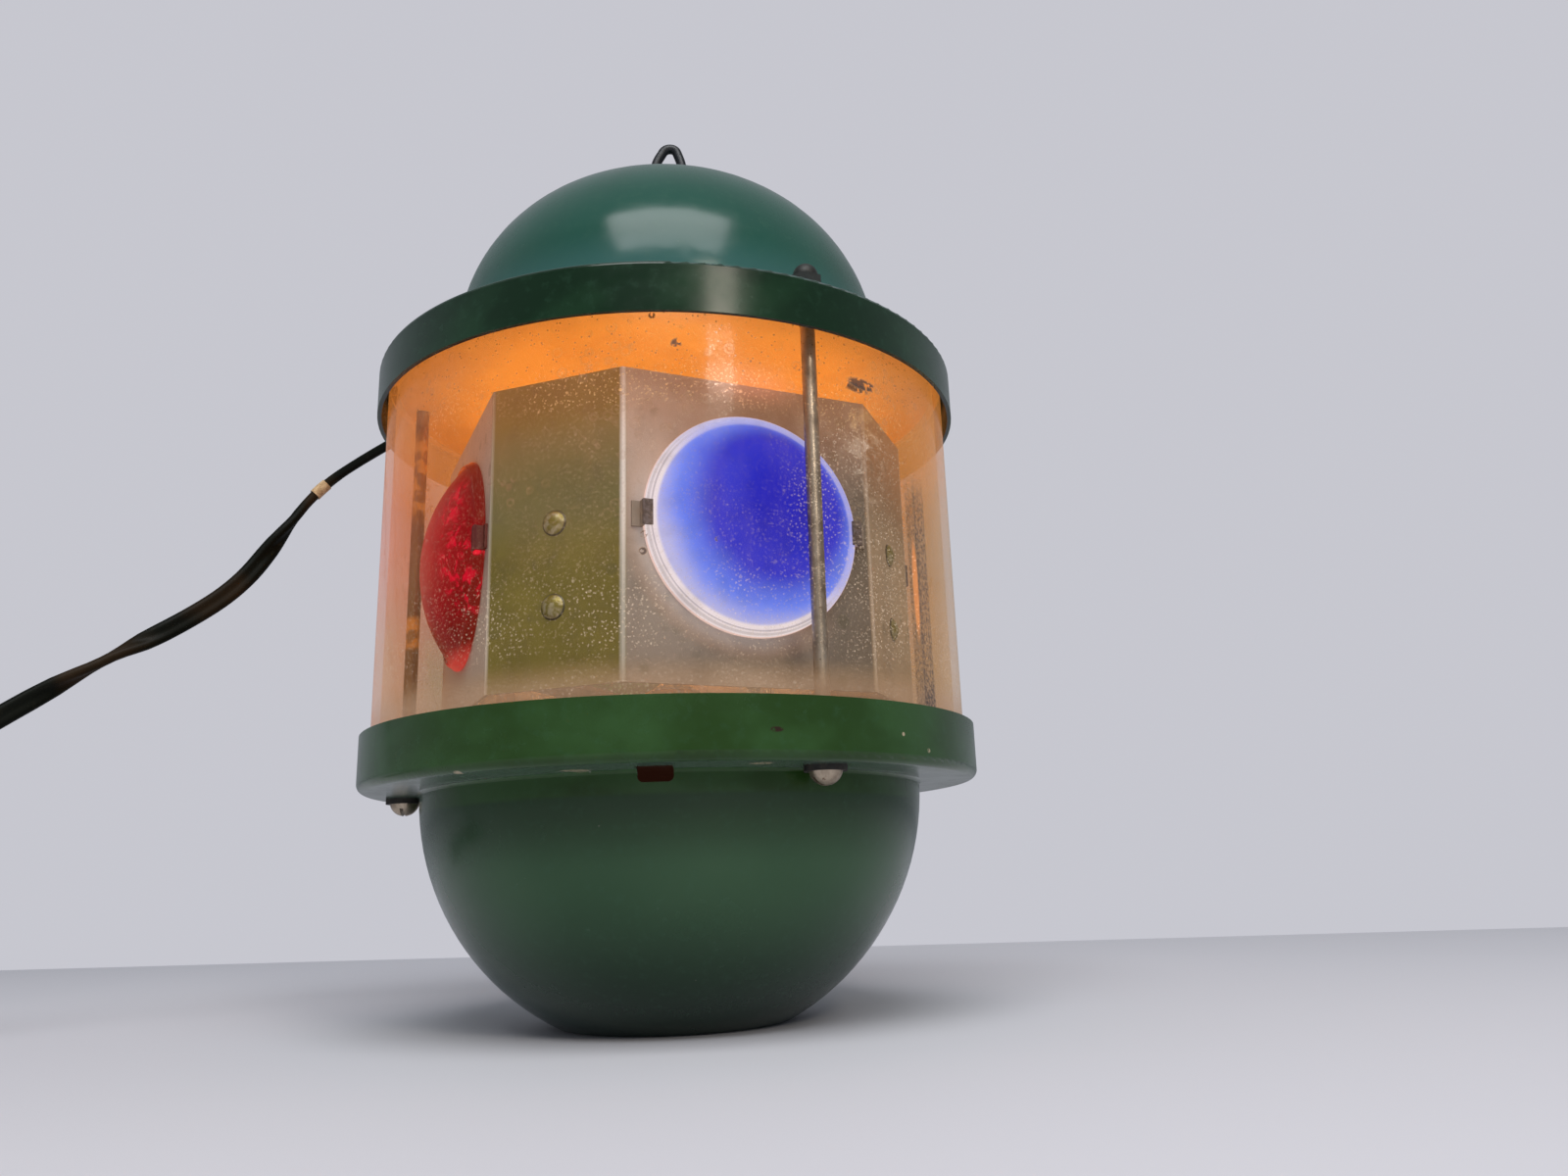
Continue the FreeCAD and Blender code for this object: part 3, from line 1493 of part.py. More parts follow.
def mains_cord():
    """The cord from the terminal block through its relief, hanging to the floor, coiled, and out to its plug."""
    radius = plain(sizes.cord_radius)
    heading = compass(sizes.cord_bearing)
    exit_point = cord_exit()
    height = plain(sizes.cord_height)
    block_out = plain(sizes.block_radius + sizes.block_width / 2.0)
    deck = plain(reflector_top()) + radius + 0.4
    inside = [
        heading * block_out + Vector(0, 0, deck),
        heading * (block_out + 5.0) + Vector(0, 0, deck),
        heading * (block_out + 11.5) + Vector(0, 0, height),
        exit_point,
    ]
    tail, _ = along(inside, [4.0, 4.0], radius)
    node(solid("cord_inside", tail), "cord_tail")

    coil = Vector(plain(sizes.coil_x), plain(sizes.coil_y), 0)
    entry = coil + Vector(-2.0, -plain(sizes.coil_outer) + radius, radius)
    route = [exit_point] + [Vector(*point) for point in CORD_ROUTE] + [entry]
    radii = easy_radii(route)
    free, length = along(route, radii, radius)
    print("cord radii", [round(value) for value in radii], "length", round(length))
    node(solid("cord_free", free), "mains_cord")

    before, bend, after = (Vector(*point) for point in CORD_ROUTE[:3])
    arriving = (bend - before).normalize()
    leaving = (after - bend).normalize()
    inset = radii[1] * (1 / math.cos(arriving.getAngle(leaving) / 2) - 1)
    middle = bend + (leaving - arriving).normalize() * inset
    run = (arriving + leaving).normalize()
    half = plain(sizes.tape_length) / 2
    sheet = plain(sizes.tape_sheet)
    bore = radius + 2 * plain(sizes.seat_gap)
    band = Part.makeCylinder(bore + sheet, 2 * half, middle - run * half, run)
    band = band.cut(Part.makeCylinder(bore, 2 * half, middle - run * half, run))
    node(solid("cord_band", band), "cord_tape")

    ring = tube("coil_ring", sizes.coil_outer, sizes.coil_inner, sizes.coil_height, 0.0 * sizes.coil_height)
    node(put(ring, sizes.coil_x, sizes.coil_y), "cord_coil")

    axis_height = sizes.plug_height / 2.0
    side = sizes.coil_outer - sizes.cord_radius
    plug_y = sizes.coil_y + side
    tail_length = 24.0
    lead = rod("plug_lead_run", sizes.cord_radius, tail_length, turn=Rotation(Vector(0, 1, 0), 90))
    node(put(lead, sizes.coil_x + 4.0, plug_y, axis_height, Rotation(Vector(0, 1, 0), 90)), "plug_lead")
    front = sizes.coil_x + 4.0 + tail_length
    along_x = Rotation(Vector(0, 1, 0), 90)
    cone = make("Part::Cone", "plug_cone", Radius1=4.0, Radius2=6.4, Height=sizes.plug_relief)
    put(cone, front, plug_y, axis_height, along_x)
    box = block(
        "plug_box",
        sizes.plug_length,
        sizes.plug_width,
        sizes.plug_height,
        front + sizes.plug_relief,
        plug_y - sizes.plug_width / 2.0,
        0.0 * axis_height,
    )
    eased = make("Part::Chamfer", "plug_eased", Base=box)
    eased.Edges = [(index, 1.6, 1.6) for index in range(1, 13)]
    node(join("plug_joined", cone, eased), "plug_body")
    pins = []
    for index, hand in enumerate((-1.0, 1.0)):
        pins.append(
            block(
                f"plug_pin_{index}",
                sizes.pin_length,
                sizes.pin_sheet,
                sizes.pin_width,
                front + sizes.plug_relief + sizes.plug_length,
                plug_y + hand * sizes.pin_spacing / 2.0 - sizes.pin_sheet / 2.0,
                axis_height - sizes.pin_width / 2.0,
            )
        )
    node(group("plug_pin_pair", pins), "plug_pins")


# ---------------------------------------------------------------- build


def check():
    """Stop if anything failed to compute, or a sub-part isn't a sound solid."""
    for thing in DOC.Objects:
        if {"Invalid", "Error"} & set(thing.State):
            raise RuntimeError(f"{thing.Name} didn't compute: {thing.State}")
    for thing in NODES:
        shape = thing.Shape
        if shape.isNull() or not shape.isValid() or not shape.Solids:
            raise RuntimeError(f"{thing.Label} isn't a sound solid")


def export():
    os.makedirs("parts", exist_ok=True)
    for thing in NODES:
        thing.Shape.exportStep(os.path.join("parts", f"{thing.Label}.step"))


def build():
    fill_sheet()
    bottom_bowl()
    top_cap()
    hanging_loop()
    plates()
    clear_tube()
    tie_bolts()
    drum_shell()
    lenses()
    drum_carrier()
    drum_rivets()
    drum_bearing()
    gears()
    motor()
    lampholder()
    bulb()
    wiring()
    strain_relief()
    mains_cord()
    DOC.recompute()
    check()
    export()
    print(len(NODES), "sub-parts")


build()
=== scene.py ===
"""Rotating motion lamp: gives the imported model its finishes, its flex and its studio."""

import math

import bmesh
import bpy
from mathutils import Matrix, Vector


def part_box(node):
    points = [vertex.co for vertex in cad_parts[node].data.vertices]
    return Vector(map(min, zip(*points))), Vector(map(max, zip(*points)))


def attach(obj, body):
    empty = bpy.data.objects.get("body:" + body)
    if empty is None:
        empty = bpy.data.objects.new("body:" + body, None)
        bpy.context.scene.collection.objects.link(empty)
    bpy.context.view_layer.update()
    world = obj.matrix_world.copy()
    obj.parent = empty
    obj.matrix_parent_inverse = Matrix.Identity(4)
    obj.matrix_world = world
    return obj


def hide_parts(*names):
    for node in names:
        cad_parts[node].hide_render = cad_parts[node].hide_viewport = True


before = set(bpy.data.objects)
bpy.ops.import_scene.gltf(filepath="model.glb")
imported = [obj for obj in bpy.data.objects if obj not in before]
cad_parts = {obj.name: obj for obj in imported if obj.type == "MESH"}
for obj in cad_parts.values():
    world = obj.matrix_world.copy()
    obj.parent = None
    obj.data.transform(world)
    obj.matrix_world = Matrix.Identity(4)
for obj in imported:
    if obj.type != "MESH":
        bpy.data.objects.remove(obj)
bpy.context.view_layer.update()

bl_info = {
    "name": "Rotating motion lamp",
    "version": (1, 0, 0),
    "blender": (4, 5, 0),
    "location": "3D View > Sidebar > Motion lamp",
    "description": "Builds the finishes, lenses, flex and studio of a hanging motion lamp",
    "category": "Object",
}

UP = Vector((0.0, 0.0, 1.0))
# Points of the cord from its exit to the coil, in metres.
CORD_EXIT = (-0.0725, 0.0338, 0.1661)
CORD_ROUTE = (
    (-0.0880, 0.0400, 0.1600),
    (-0.1045, 0.0420, 0.1490),
    (-0.1135, 0.0380, 0.1320),
    (-0.1215, 0.0340, 0.1170),
    (-0.1340, 0.0280, 0.1050),
    (-0.1500, 0.0195, 0.0930),
    (-0.1670, 0.0095, 0.0780),
    (-0.1850, 0.0000, 0.0610),
    (-0.2010, -0.0095, 0.0420),
    (-0.2170, -0.0190, 0.0245),
    (-0.2360, -0.0285, 0.0105),
    (-0.2600, -0.0336, 0.0040),
)
# How far the flex is turned on its own line: distance from the exit in metres, and degrees.
CORD_TWIST = (
    (0.000, -34.0),
    (0.024, -31.0),
    (0.040, -16.0),
    (0.046, -8.0),
    (0.067, 86.0),
    (0.096, 84.0),
    (0.112, 173.0),
    (0.134, 262.0),
    (0.168, 270.0),
)
TAPE_HALF = 0.0026
# The coil: its middle on the floor, its inner and outer radius, and the turns in each of its two layers.
COIL = Vector((-0.280, 0.004, 0.0))
COIL_INNER, COIL_OUTER = 0.0243, 0.0393
COIL_TURNS = 3.625
TURN_STEPS = 16
# The drum: bearings of its faces, and how much farther out its narrow faces stand than its wide ones.
LENS_BEARINGS = {"blue": 19.46, "amber": 109.46, "green": 199.46, "red": 289.46}
WIDE_BEARINGS = (19.46, 109.46)
NARROW_BEARINGS = (64.46, 154.46)
DRUM_STEP = 0.0055
LENS_WALL, LENS_STEP = 0.0016, 0.0022
# Each lens: its colours from the middle to the rim, how strongly it is lit, and its bright streaks.
LENS_SHADES = {
    "blue": (
        ((0.012, 0.014, 0.42), (0.034, 0.036, 0.52), (0.16, 0.24, 0.86), (0.52, 0.50, 0.76), (0.86, 0.74, 0.72)),
        0.92,
        0.0,
    ),
    "amber": (
        ((0.80, 0.22, 0.010), (0.90, 0.30, 0.015), (0.95, 0.42, 0.05), (0.95, 0.60, 0.25), (0.90, 0.62, 0.40)),
        0.80,
        0.0,
    ),
    "green": (
        ((0.010, 0.26, 0.060), (0.020, 0.38, 0.10), (0.10, 0.52, 0.20), (0.50, 0.75, 0.50), (0.80, 0.80, 0.66)),
        0.80,
        0.0,
    ),
    "red": (
        ((0.32, 0.0, 0.005), (0.23, 0.0, 0.004), (0.145, 0.002, 0.002), (0.14, 0.006, 0.004), (0.14, 0.008, 0.005)),
        1.00,
        0.9,
    ),
}
# Blots of light on a streaked lens: place across it, height and radius.
STREAK_BLOTS = ((0.0190, -0.0050, 0.0085), (0.0140, 0.0100, 0.0050), (-0.0150, 0.0020, 0.0090))
# Heights where the enamel changes: under the bowl's rim, between the pressings, and on the cap's shoulder.
BOWL_RIM, MIDWAY, SHOULDER = 0.0488, 0.1000, 0.1583
# Marks in the enamel: centre, radius, stretch of the distance along each axis, and whether it is a dark chip.
ENAMEL_MARKS = (
    ((0.0198, -0.0723, 0.0601), 0.0016, (1.0, 1.0, 2.6), True),
    ((0.0473, -0.0582, 0.0603), 0.0005, (1.0, 1.0, 1.0), False),
    ((0.0537, -0.0523, 0.0574), 0.0006, (1.0, 1.0, 1.0), False),
    ((-0.0195, -0.0606, 0.0542), 0.0036, (1.0, 1.4, 3.0), False),
    ((0.0170, -0.0665, 0.0542), 0.0028, (1.0, 1.1, 3.0), False),
    ((-0.0420, -0.0600, 0.0545), 0.0014, (1.0, 1.0, 3.0), False),
    ((0.0620, -0.0400, 0.1500), 0.0010, (1.0, 1.0, 2.0), True),
    ((-0.0300, 0.0680, 0.0620), 0.0014, (1.0, 1.0, 2.0), True),
    ((0.0080, 0.0735, 0.1480), 0.0018, (1.0, 1.0, 3.0), False),
)
# Dark marks on the tube: centre and radius.
TUBE_MARKS = (
    ((-0.0056, -0.0723, 0.0995), 0.0009),
    ((-0.0058, -0.0723, 0.0960), 0.0010),
    ((-0.0038, -0.0724, 0.1472), 0.0009),
    ((0.0012, -0.0725, 0.1409), 0.0014),
    ((0.0090, -0.0719, 0.0985), 0.0006),
    ((0.0290, 0.0664, 0.1200), 0.0012),
    ((-0.0500, 0.0525, 0.0900), 0.0016),
)
# Bearing of a dark speckled upright strip on the tube.
STRIP_BEARING = 50.3
# The studio: the backdrop's colour, and a point and the level direction of the floor's far edge.
BACKDROP = (0.570, 0.572, 0.625)
FLOOR_EDGE = (0.051, 0.276, 0.0)
FLOOR_EDGE_WAY = (0.2037, 0.979, 0.0)


def bearing_way(degrees):
    """Level unit vector at a bearing from the front, turning towards +X."""
    angle = math.radians(degrees)
    return Vector((math.sin(angle), -math.cos(angle), 0.0))


# ---------------------------------------------------------------- materials


class Amount:
    """A number or colour that nodes work out; arithmetic on it adds nodes."""

    def __init__(self, nodes, socket):
        self.nodes = nodes
        self.socket = socket

    def __add__(self, other):
        return self.nodes.calc("ADD", self, other)

    def __sub__(self, other):
        return self.nodes.calc("SUBTRACT", self, other)

    def __rsub__(self, other):
        return self.nodes.calc("SUBTRACT", other, self)

    def __mul__(self, other):
        return self.nodes.calc("MULTIPLY", self, other)

    def __pow__(self, other):
        return self.nodes.calc("POWER", self, other)

    def __or__(self, other):
        """The greater of the two."""
        return self.nodes.calc("MAXIMUM", self, other)

    def __abs__(self):
        return self.nodes.calc("ABSOLUTE", self)

    def fade(self, low, high, start=0.0, end=1.0, curve="SMOOTHSTEP"):
        """Carries low..high to start..end with soft ends."""
        sockets = {0: self, 1: low, 2: high, 3: start, 4: end}
        return self.nodes.add("MapRange", sockets, interpolation_type=curve)

    def ramp(self, *ends):
        """Carries low..high to start..end evenly."""
        return self.fade(*ends, curve="LINEAR")


class Nodes:
    """The node tree of a material or world: nodes are added by type and joined to sockets by name or number."""

    def __init__(self, owner):
        owner.use_nodes = True
        self.tree = owner.node_tree
        self.tree.nodes.clear()

    def node(self, kind, inputs=None, **options):
        node = self.tree.nodes.new("ShaderNode" + kind)
        for key, value in options.items():
            setattr(node, key, value)
        for key, value in (inputs or {}).items():
            self.feed(node.inputs[key], value)
        return node

    def add(self, kind, inputs=None, output=0, **options):
        """Adds a node and hands over one of its outputs."""
        return Amount(self, self.node(kind, inputs, **options).outputs[output])

    def feed(self, socket, value):
        if isinstance(value, Amount):
            self.tree.links.new(value.socket, socket)
        elif socket.type == "RGBA" and len(value) == 3:
            socket.default_value = (*value, 1.0)
        else:
            socket.default_value = value

    def calc(self, operation, *values):
        return self.add("Math", dict(enumerate(values)), operation=operation)


class Finish(Nodes):
    """One procedural material, patterned on the object's own coordinates, in metres."""

    def __init__(self, name, **values):
        self.material = bpy.data.materials.new(name)
        super().__init__(self.material)
        self.shader = self.node("BsdfPrincipled")
        self.surface = Amount(self, self.shader.outputs["BSDF"])
        self.end = self.node("OutputMaterial", {"Surface": self.surface})
        self.place = self.add("TexCoord", output="Object")
        self.set(**values)

    def set(self, **values):
        """Sets sockets of the shader; an underscore stands for a space in the socket's name."""
        for key, value in values.items():
            self.feed(self.shader.inputs[key.replace("_", " ")], value)

    def clamp(self, value):
        return self.add("Clamp", {0: value})

    def mix(self, amount, first, second):
        return self.add("Mix", {0: amount, 6: first, 7: second}, 2, data_type="RGBA")

    def layers(self, colour, *coats):
        """Lays colours over one another: each coat is how much of it shows, and its colour."""
        for amount, coat in coats:
            colour = self.mix(amount, colour, coat)
        return colour

    def length(self, first, second):
        """Length of a flat vector from its two parts."""
        return self.calc("SQRT", first * first + second * second)

    def noise(self, size, detail=2.0, roughness=0.5, distortion=0.0, stretch=None):
        """Uneven pattern whose features are about size metres across."""
        place = self.add("Mapping", {"Vector": self.place, "Scale": stretch}) if stretch else self.place
        sockets = {"Vector": place, "Scale": 1.0 / size, "Detail": detail}
        sockets.update({"Roughness": roughness, "Distortion": distortion})
        return self.add("TexNoise", sockets, "Fac")

    def dots(self, size):
        """Distance from scattered points about size metres apart, as a share of that size."""
        return self.add("TexVoronoi", {"Vector": self.place, "Scale": 1.0 / size}, "Distance")

    def axes(self):
        split = self.node("SeparateXYZ", {0: self.place})
        return [Amount(self, output) for output in split.outputs]

    def vector(self, operation, *values, output=0):
        return self.add("VectorMath", dict(enumerate(values)), output, operation=operation)

    def along(self, way, base=(0.0, 0.0, 0.0)):
        """Distance from base along a direction."""
        return self.vector("DOT_PRODUCT", self.vector("SUBTRACT", self.place, base), way, output="Value")

    def farthest(self, bearings):
        """The greater distance from the axis along two level ways, either side."""
        first, second = (abs(self.along(bearing_way(bearing))) for bearing in bearings)
        return first | second

    def away(self, centre, shape=(1.0, 1.0, 1.0)):
        """Distance from a centre, stretched along each axis."""
        offset = self.vector("MULTIPLY", self.vector("SUBTRACT", self.place, centre), shape)
        return self.vector("LENGTH", offset, output="Value")

    def spot(self, centre, radius, edge=0.5, shape=(1.0, 1.0, 1.0)):
        """1 inside a blot round centre, 0 past its radius."""
        return self.away(centre, shape).fade(radius * (1.0 - edge), radius, 1.0, 0.0)

    def facing(self):
        return self.add("LayerWeight", {"Blend": 0.5}, "Facing")

    def bump(self, height, depth, strength):
        """Adds relief and hands over the material."""
        self.set(Normal=self.add("Bump", {"Strength": strength, "Distance": depth, "Height": height}))
        return self.material


def enamel(colours):
    """Stoved enamel: bluish green on the dome, leaf green below, these tints partly painted reflections, with
    painted shade inside the cap's rim, under the bowl's rim and towards the foot, painted sheens on the dome's
    lower band and at grazing angles, and dust, smears, chips and scratches.
    """
    paint = Finish("green_enamel_coat", Coat_Weight=0.12, Coat_Roughness=0.14, Coat_IOR=1.5)
    paint.set(IOR=1.5, Specular_IOR_Level=0.20)
    x, y, z = paint.axes()
    cloud = paint.noise(0.050).fade(0.30, 0.70)
    patch = paint.noise(0.024, 3.0, 0.55, stretch=(1.0, 1.0, 1.6)).fade(0.36, 0.66)
    grain = paint.noise(0.0022, 3.0, 0.6)
    dome = paint.mix(cloud, colours.enamel_deep, colours.enamel)
    # The dome's lower band is paled bluish: a painted sheen.
    dome = paint.mix(z.fade(0.180, 0.165, 0.0, 0.75), dome, (0.058, 0.155, 0.148))
    above = z.fade(MIDWAY, MIDWAY + 0.001)
    # Inside the cap's rim the enamel is painted near black: painted shade.
    shaded_inside_rim = paint.length(x, y).fade(0.0747, 0.0743) * z.fade(0.1575, 0.1565) * above
    # The zones' greens are partly painted reflections: the dome's bluish tint stands for a blue wall, the rims'
    # yellower tint for orange light.
    base = paint.layers(
        colours.enamel_bowl,
        (cloud, colours.enamel_bowl_pale),
        # Painted shade: the bowl darkens towards its foot.
        (z.fade(0.002, 0.036, 1.0, 0.0), colours.enamel_foot_shade),
        # Painted shade: the bowl darkens just under its rim.
        (z.fade(0.034, 0.047, 0.0, 0.75), colours.enamel_neck_shade),
        (z.fade(BOWL_RIM, BOWL_RIM + 0.0012), paint.mix(patch, colours.enamel_rim, colours.enamel_rim_pale)),
        (above, paint.mix(patch, colours.enamel_skirt, colours.enamel_skirt_pale)),
        (z.fade(SHOULDER, SHOULDER + 0.0009), dome),
        (shaded_inside_rim, (0.002, 0.002, 0.002)),
        (grain.fade(0.50, 0.75, 0.0, 0.10), colours.enamel_pale),
        # Paler at grazing angles: a painted sheen.
        (paint.facing() ** 3.0 * 0.55, (0.15, 0.20, 0.19)),
    )
    ragged = paint.noise(0.0008).fade(0.34, 0.46)
    for centre, radius, shape, chip in ENAMEL_MARKS:
        mark = paint.spot(centre, radius, 0.35, shape) * ragged
        base = paint.mix(mark, base, colours.chip_dark if chip else colours.chip_cream)
    speck = paint.dots(0.006).fade(0.05, 0.03) * paint.noise(0.014).fade(0.60, 0.66)
    smear = paint.noise(0.030, 3.0, 0.55, stretch=(1.0, 1.0, 1.9)).fade(0.36, 0.70)
    rough = smear.ramp(0.0, 1.0, 0.18, 0.28) + (grain - 0.5) * 0.12
    paint.set(Base_Color=paint.mix(speck, base, (0.30, 0.30, 0.25)), Roughness=rough)
    return paint.bump(paint.noise(0.010, 1.0), 0.0002, 0.12)


def clear_plastic(colours):
    """Old clear plastic: dusty, streaked and specked, hazier at the rear, with a painted warm glow for the light
    inside it.
    """
    wall = Finish("hazy_clear_plastic", Coat_Weight=0.55, Coat_Roughness=0.07, Coat_IOR=1.6, IOR=1.5)
    x, y, z = wall.axes()
    cloud = wall.noise(0.020, 4.0, 0.6)
    streak = wall.noise(0.0035, 3.0, 0.6, stretch=(1.0, 1.0, 0.07))
    top, foot = z.fade(0.116, 0.150), z.fade(0.0760, 0.0690)
    rear = y.fade(-0.014, 0.016) * abs(x).fade(0.034, 0.052)
    haze = streak.fade(0.45, 0.75, 0.0, 0.018) + cloud.fade(0.35, 0.7, 0.006, 0.034)
    haze = haze + wall.facing() ** 3.4 * 0.64 + top * 0.035 + foot * 0.32 + rear * 0.54
    wiped = wall.spot((-0.0442, -0.0574, 0.0970), 0.030, 0.6, (1.9, 1.9, 1.0))
    haze = haze * wiped.ramp(0.0, 1.0, 1.0, 0.35)

    # The glow is salmon on one side and tan on the other, orange near the top and sandy at the foot.
    lit = wall.spot((0.0172, -0.0704, 0.1330), 0.017, 0.9, (1.0, 1.0, 2.4))
    warm = wall.layers(
        colours.haze_tan,
        (z.fade(0.085, 0.115), colours.haze_salmon),
        (x.fade(-0.050, 0.030), colours.haze_tan),
        (top * 0.70, colours.haze_orange),
        (foot, colours.haze_sand),
        (x.fade(-0.064, -0.073) * z.fade(0.132, 0.112, 0.0, 0.65), (0.50, 0.15, 0.07)),
        (lit, (0.95, 0.30, 0.16)),
    )

    # Fine droplets lie in patches, larger ones among them.
    patch = wall.noise(0.020, 3.0, 0.6).fade(0.40, 0.54)
    lower = z.fade(0.100, 0.088) * z.fade(0.0735, 0.0775, 0.35, 1.0)
    edge = z.fade(0.126, 0.129) * z.fade(0.140, 0.134)
    side = wall.spot((0.0425, -0.0587, 0.104), 0.026, 0.35, (1.0, 1.0, 0.75))
    where = (lower | edge | side) * patch.ramp(0.0, 1.0, 0.50, 0.90) | patch.fade(0.0, 1.0, 0.14, 0.34)
    large = wall.dots(0.0042).fade(0.11, 0.07) * patch
    drops = (wall.dots(0.00085).fade(0.31, 0.16) | large) * where

    # Pale smears, and dirt: dark specks under the cap, a squashed insect and dried rings; and a dark speckled
    # upright strip.
    smear = wall.spot((0.0425, -0.0590, 0.122), 0.012, 0.8, (1.2, 1.2, 0.6))
    smear = smear * wall.noise(0.004, 4.0, 0.7, 0.8).fade(0.50, 0.62)
    dark_drops = wall.dots(0.0017).fade(0.15, 0.09) * z.fade(0.131, 0.137)
    insect = wall.spot((0.0425, -0.0586, 0.1381), 0.0042, 0.4, (0.75, 0.75, 2.6))
    marks = insect * wall.noise(0.0013).fade(0.40, 0.47)
    ragged = wall.noise(0.0009).fade(0.42, 0.50)
    for centre, radius in TUBE_MARKS:
        marks = marks | wall.spot(centre, radius, 0.4) * ragged
    rings = abs(wall.dots(0.0042) - 0.24).fade(0.08, 0.03) * wall.noise(0.015).fade(0.52, 0.60)
    rings = rings * (z.fade(0.100, 0.108) * 0.30)
    across = abs(wall.along(bearing_way(STRIP_BEARING + 90.0), (0.0006, 0.0006, 0.0)))
    front = wall.along(bearing_way(STRIP_BEARING)).fade(0.0, 0.01)
    speckle = wall.noise(0.0008, 3.0, 0.7).fade(0.34, 0.62)
    strip = across.fade(0.0030, 0.0022) * front * z.fade(0.124, 0.114) * speckle.ramp(0.0, 1.0, 0.35, 1.0)
    # A thin upright orange streak near the right edge: painted glow of the lamp's light.
    painted_glow_streak = wall.spot((0.0540, -0.0484, 0.0940), 0.0150, 0.5, (9.0, 9.0, 1.0))
    grime = dark_drops | marks | (strip | rings)

    # Drops and smears are cream low down and orange higher up, the orange painted light from the lit plate above.
    colour = wall.layers(
        (0.20, 0.13, 0.075),
        (cloud.fade(0.4, 0.65), (0.30, 0.21, 0.13)),
        (drops | smear, wall.mix(z.fade(0.124, 0.130), (0.84, 0.73, 0.60), (0.80, 0.50, 0.22))),
        (grime, (0.085, 0.045, 0.028)),
    )
    alpha = haze + drops * 0.32 + lit * 0.12 + smear * 0.16 + grime * 0.55 + marks * 0.25 + painted_glow_streak * 0.50
    wall.set(Base_Color=colour, Roughness=cloud.ramp(0.3, 0.7, 0.12, 0.28), Alpha=wall.clamp(alpha))
    wall.set(Emission_Color=wall.mix(painted_glow_streak, warm, (0.70, 0.19, 0.010)))
    wall.set(Emission_Strength=(1.0 - grime) * painted_glow_streak.fade(0.0, 1.0, 1.0, 1.25))
    return wall.material


def worn_metal(name, colour, dark, rough, brushed=None, rust=0.0, metallic=1.0):
    """Plated or bare metal with draw marks, dull patches and specks of rust."""
    metal = Finish(name, Metallic=metallic)
    cloud = metal.noise(0.006, 4.0, 0.6)
    lines = metal.noise(0.0006, 3.0, 0.6, stretch=brushed)
    base = metal.layers(colour, (cloud.fade(0.4, 0.7), dark), (lines.fade(0.4, 0.7, 0.0, 0.35), dark))
    if rust:
        spots = metal.noise(0.0013, 4.0, 0.65).fade(0.72 - rust * 0.2, 0.78 - rust * 0.2)
        base = metal.mix(spots, base, (0.11, 0.045, 0.02))
    metal.set(Base_Color=base, Roughness=cloud.ramp(0.3, 0.75, rough, rough + 0.22))
    return metal.bump(lines, 0.00008, 0.3)


def moulded(name, colour, second, rough, size=0.004, **more):
    """Moulded or painted matter with a slight mottle and grain."""
    stuff = Finish(name, **more)
    fine = stuff.noise(size / 8.0)
    stuff.set(Base_Color=stuff.mix(stuff.noise(size, 3.0, 0.6).fade(0.35, 0.7), colour, second))
    stuff.set(Roughness=fine.ramp(0.3, 0.7, rough - 0.06, rough + 0.1))
    return stuff.bump(fine, 0.00008, 0.35)


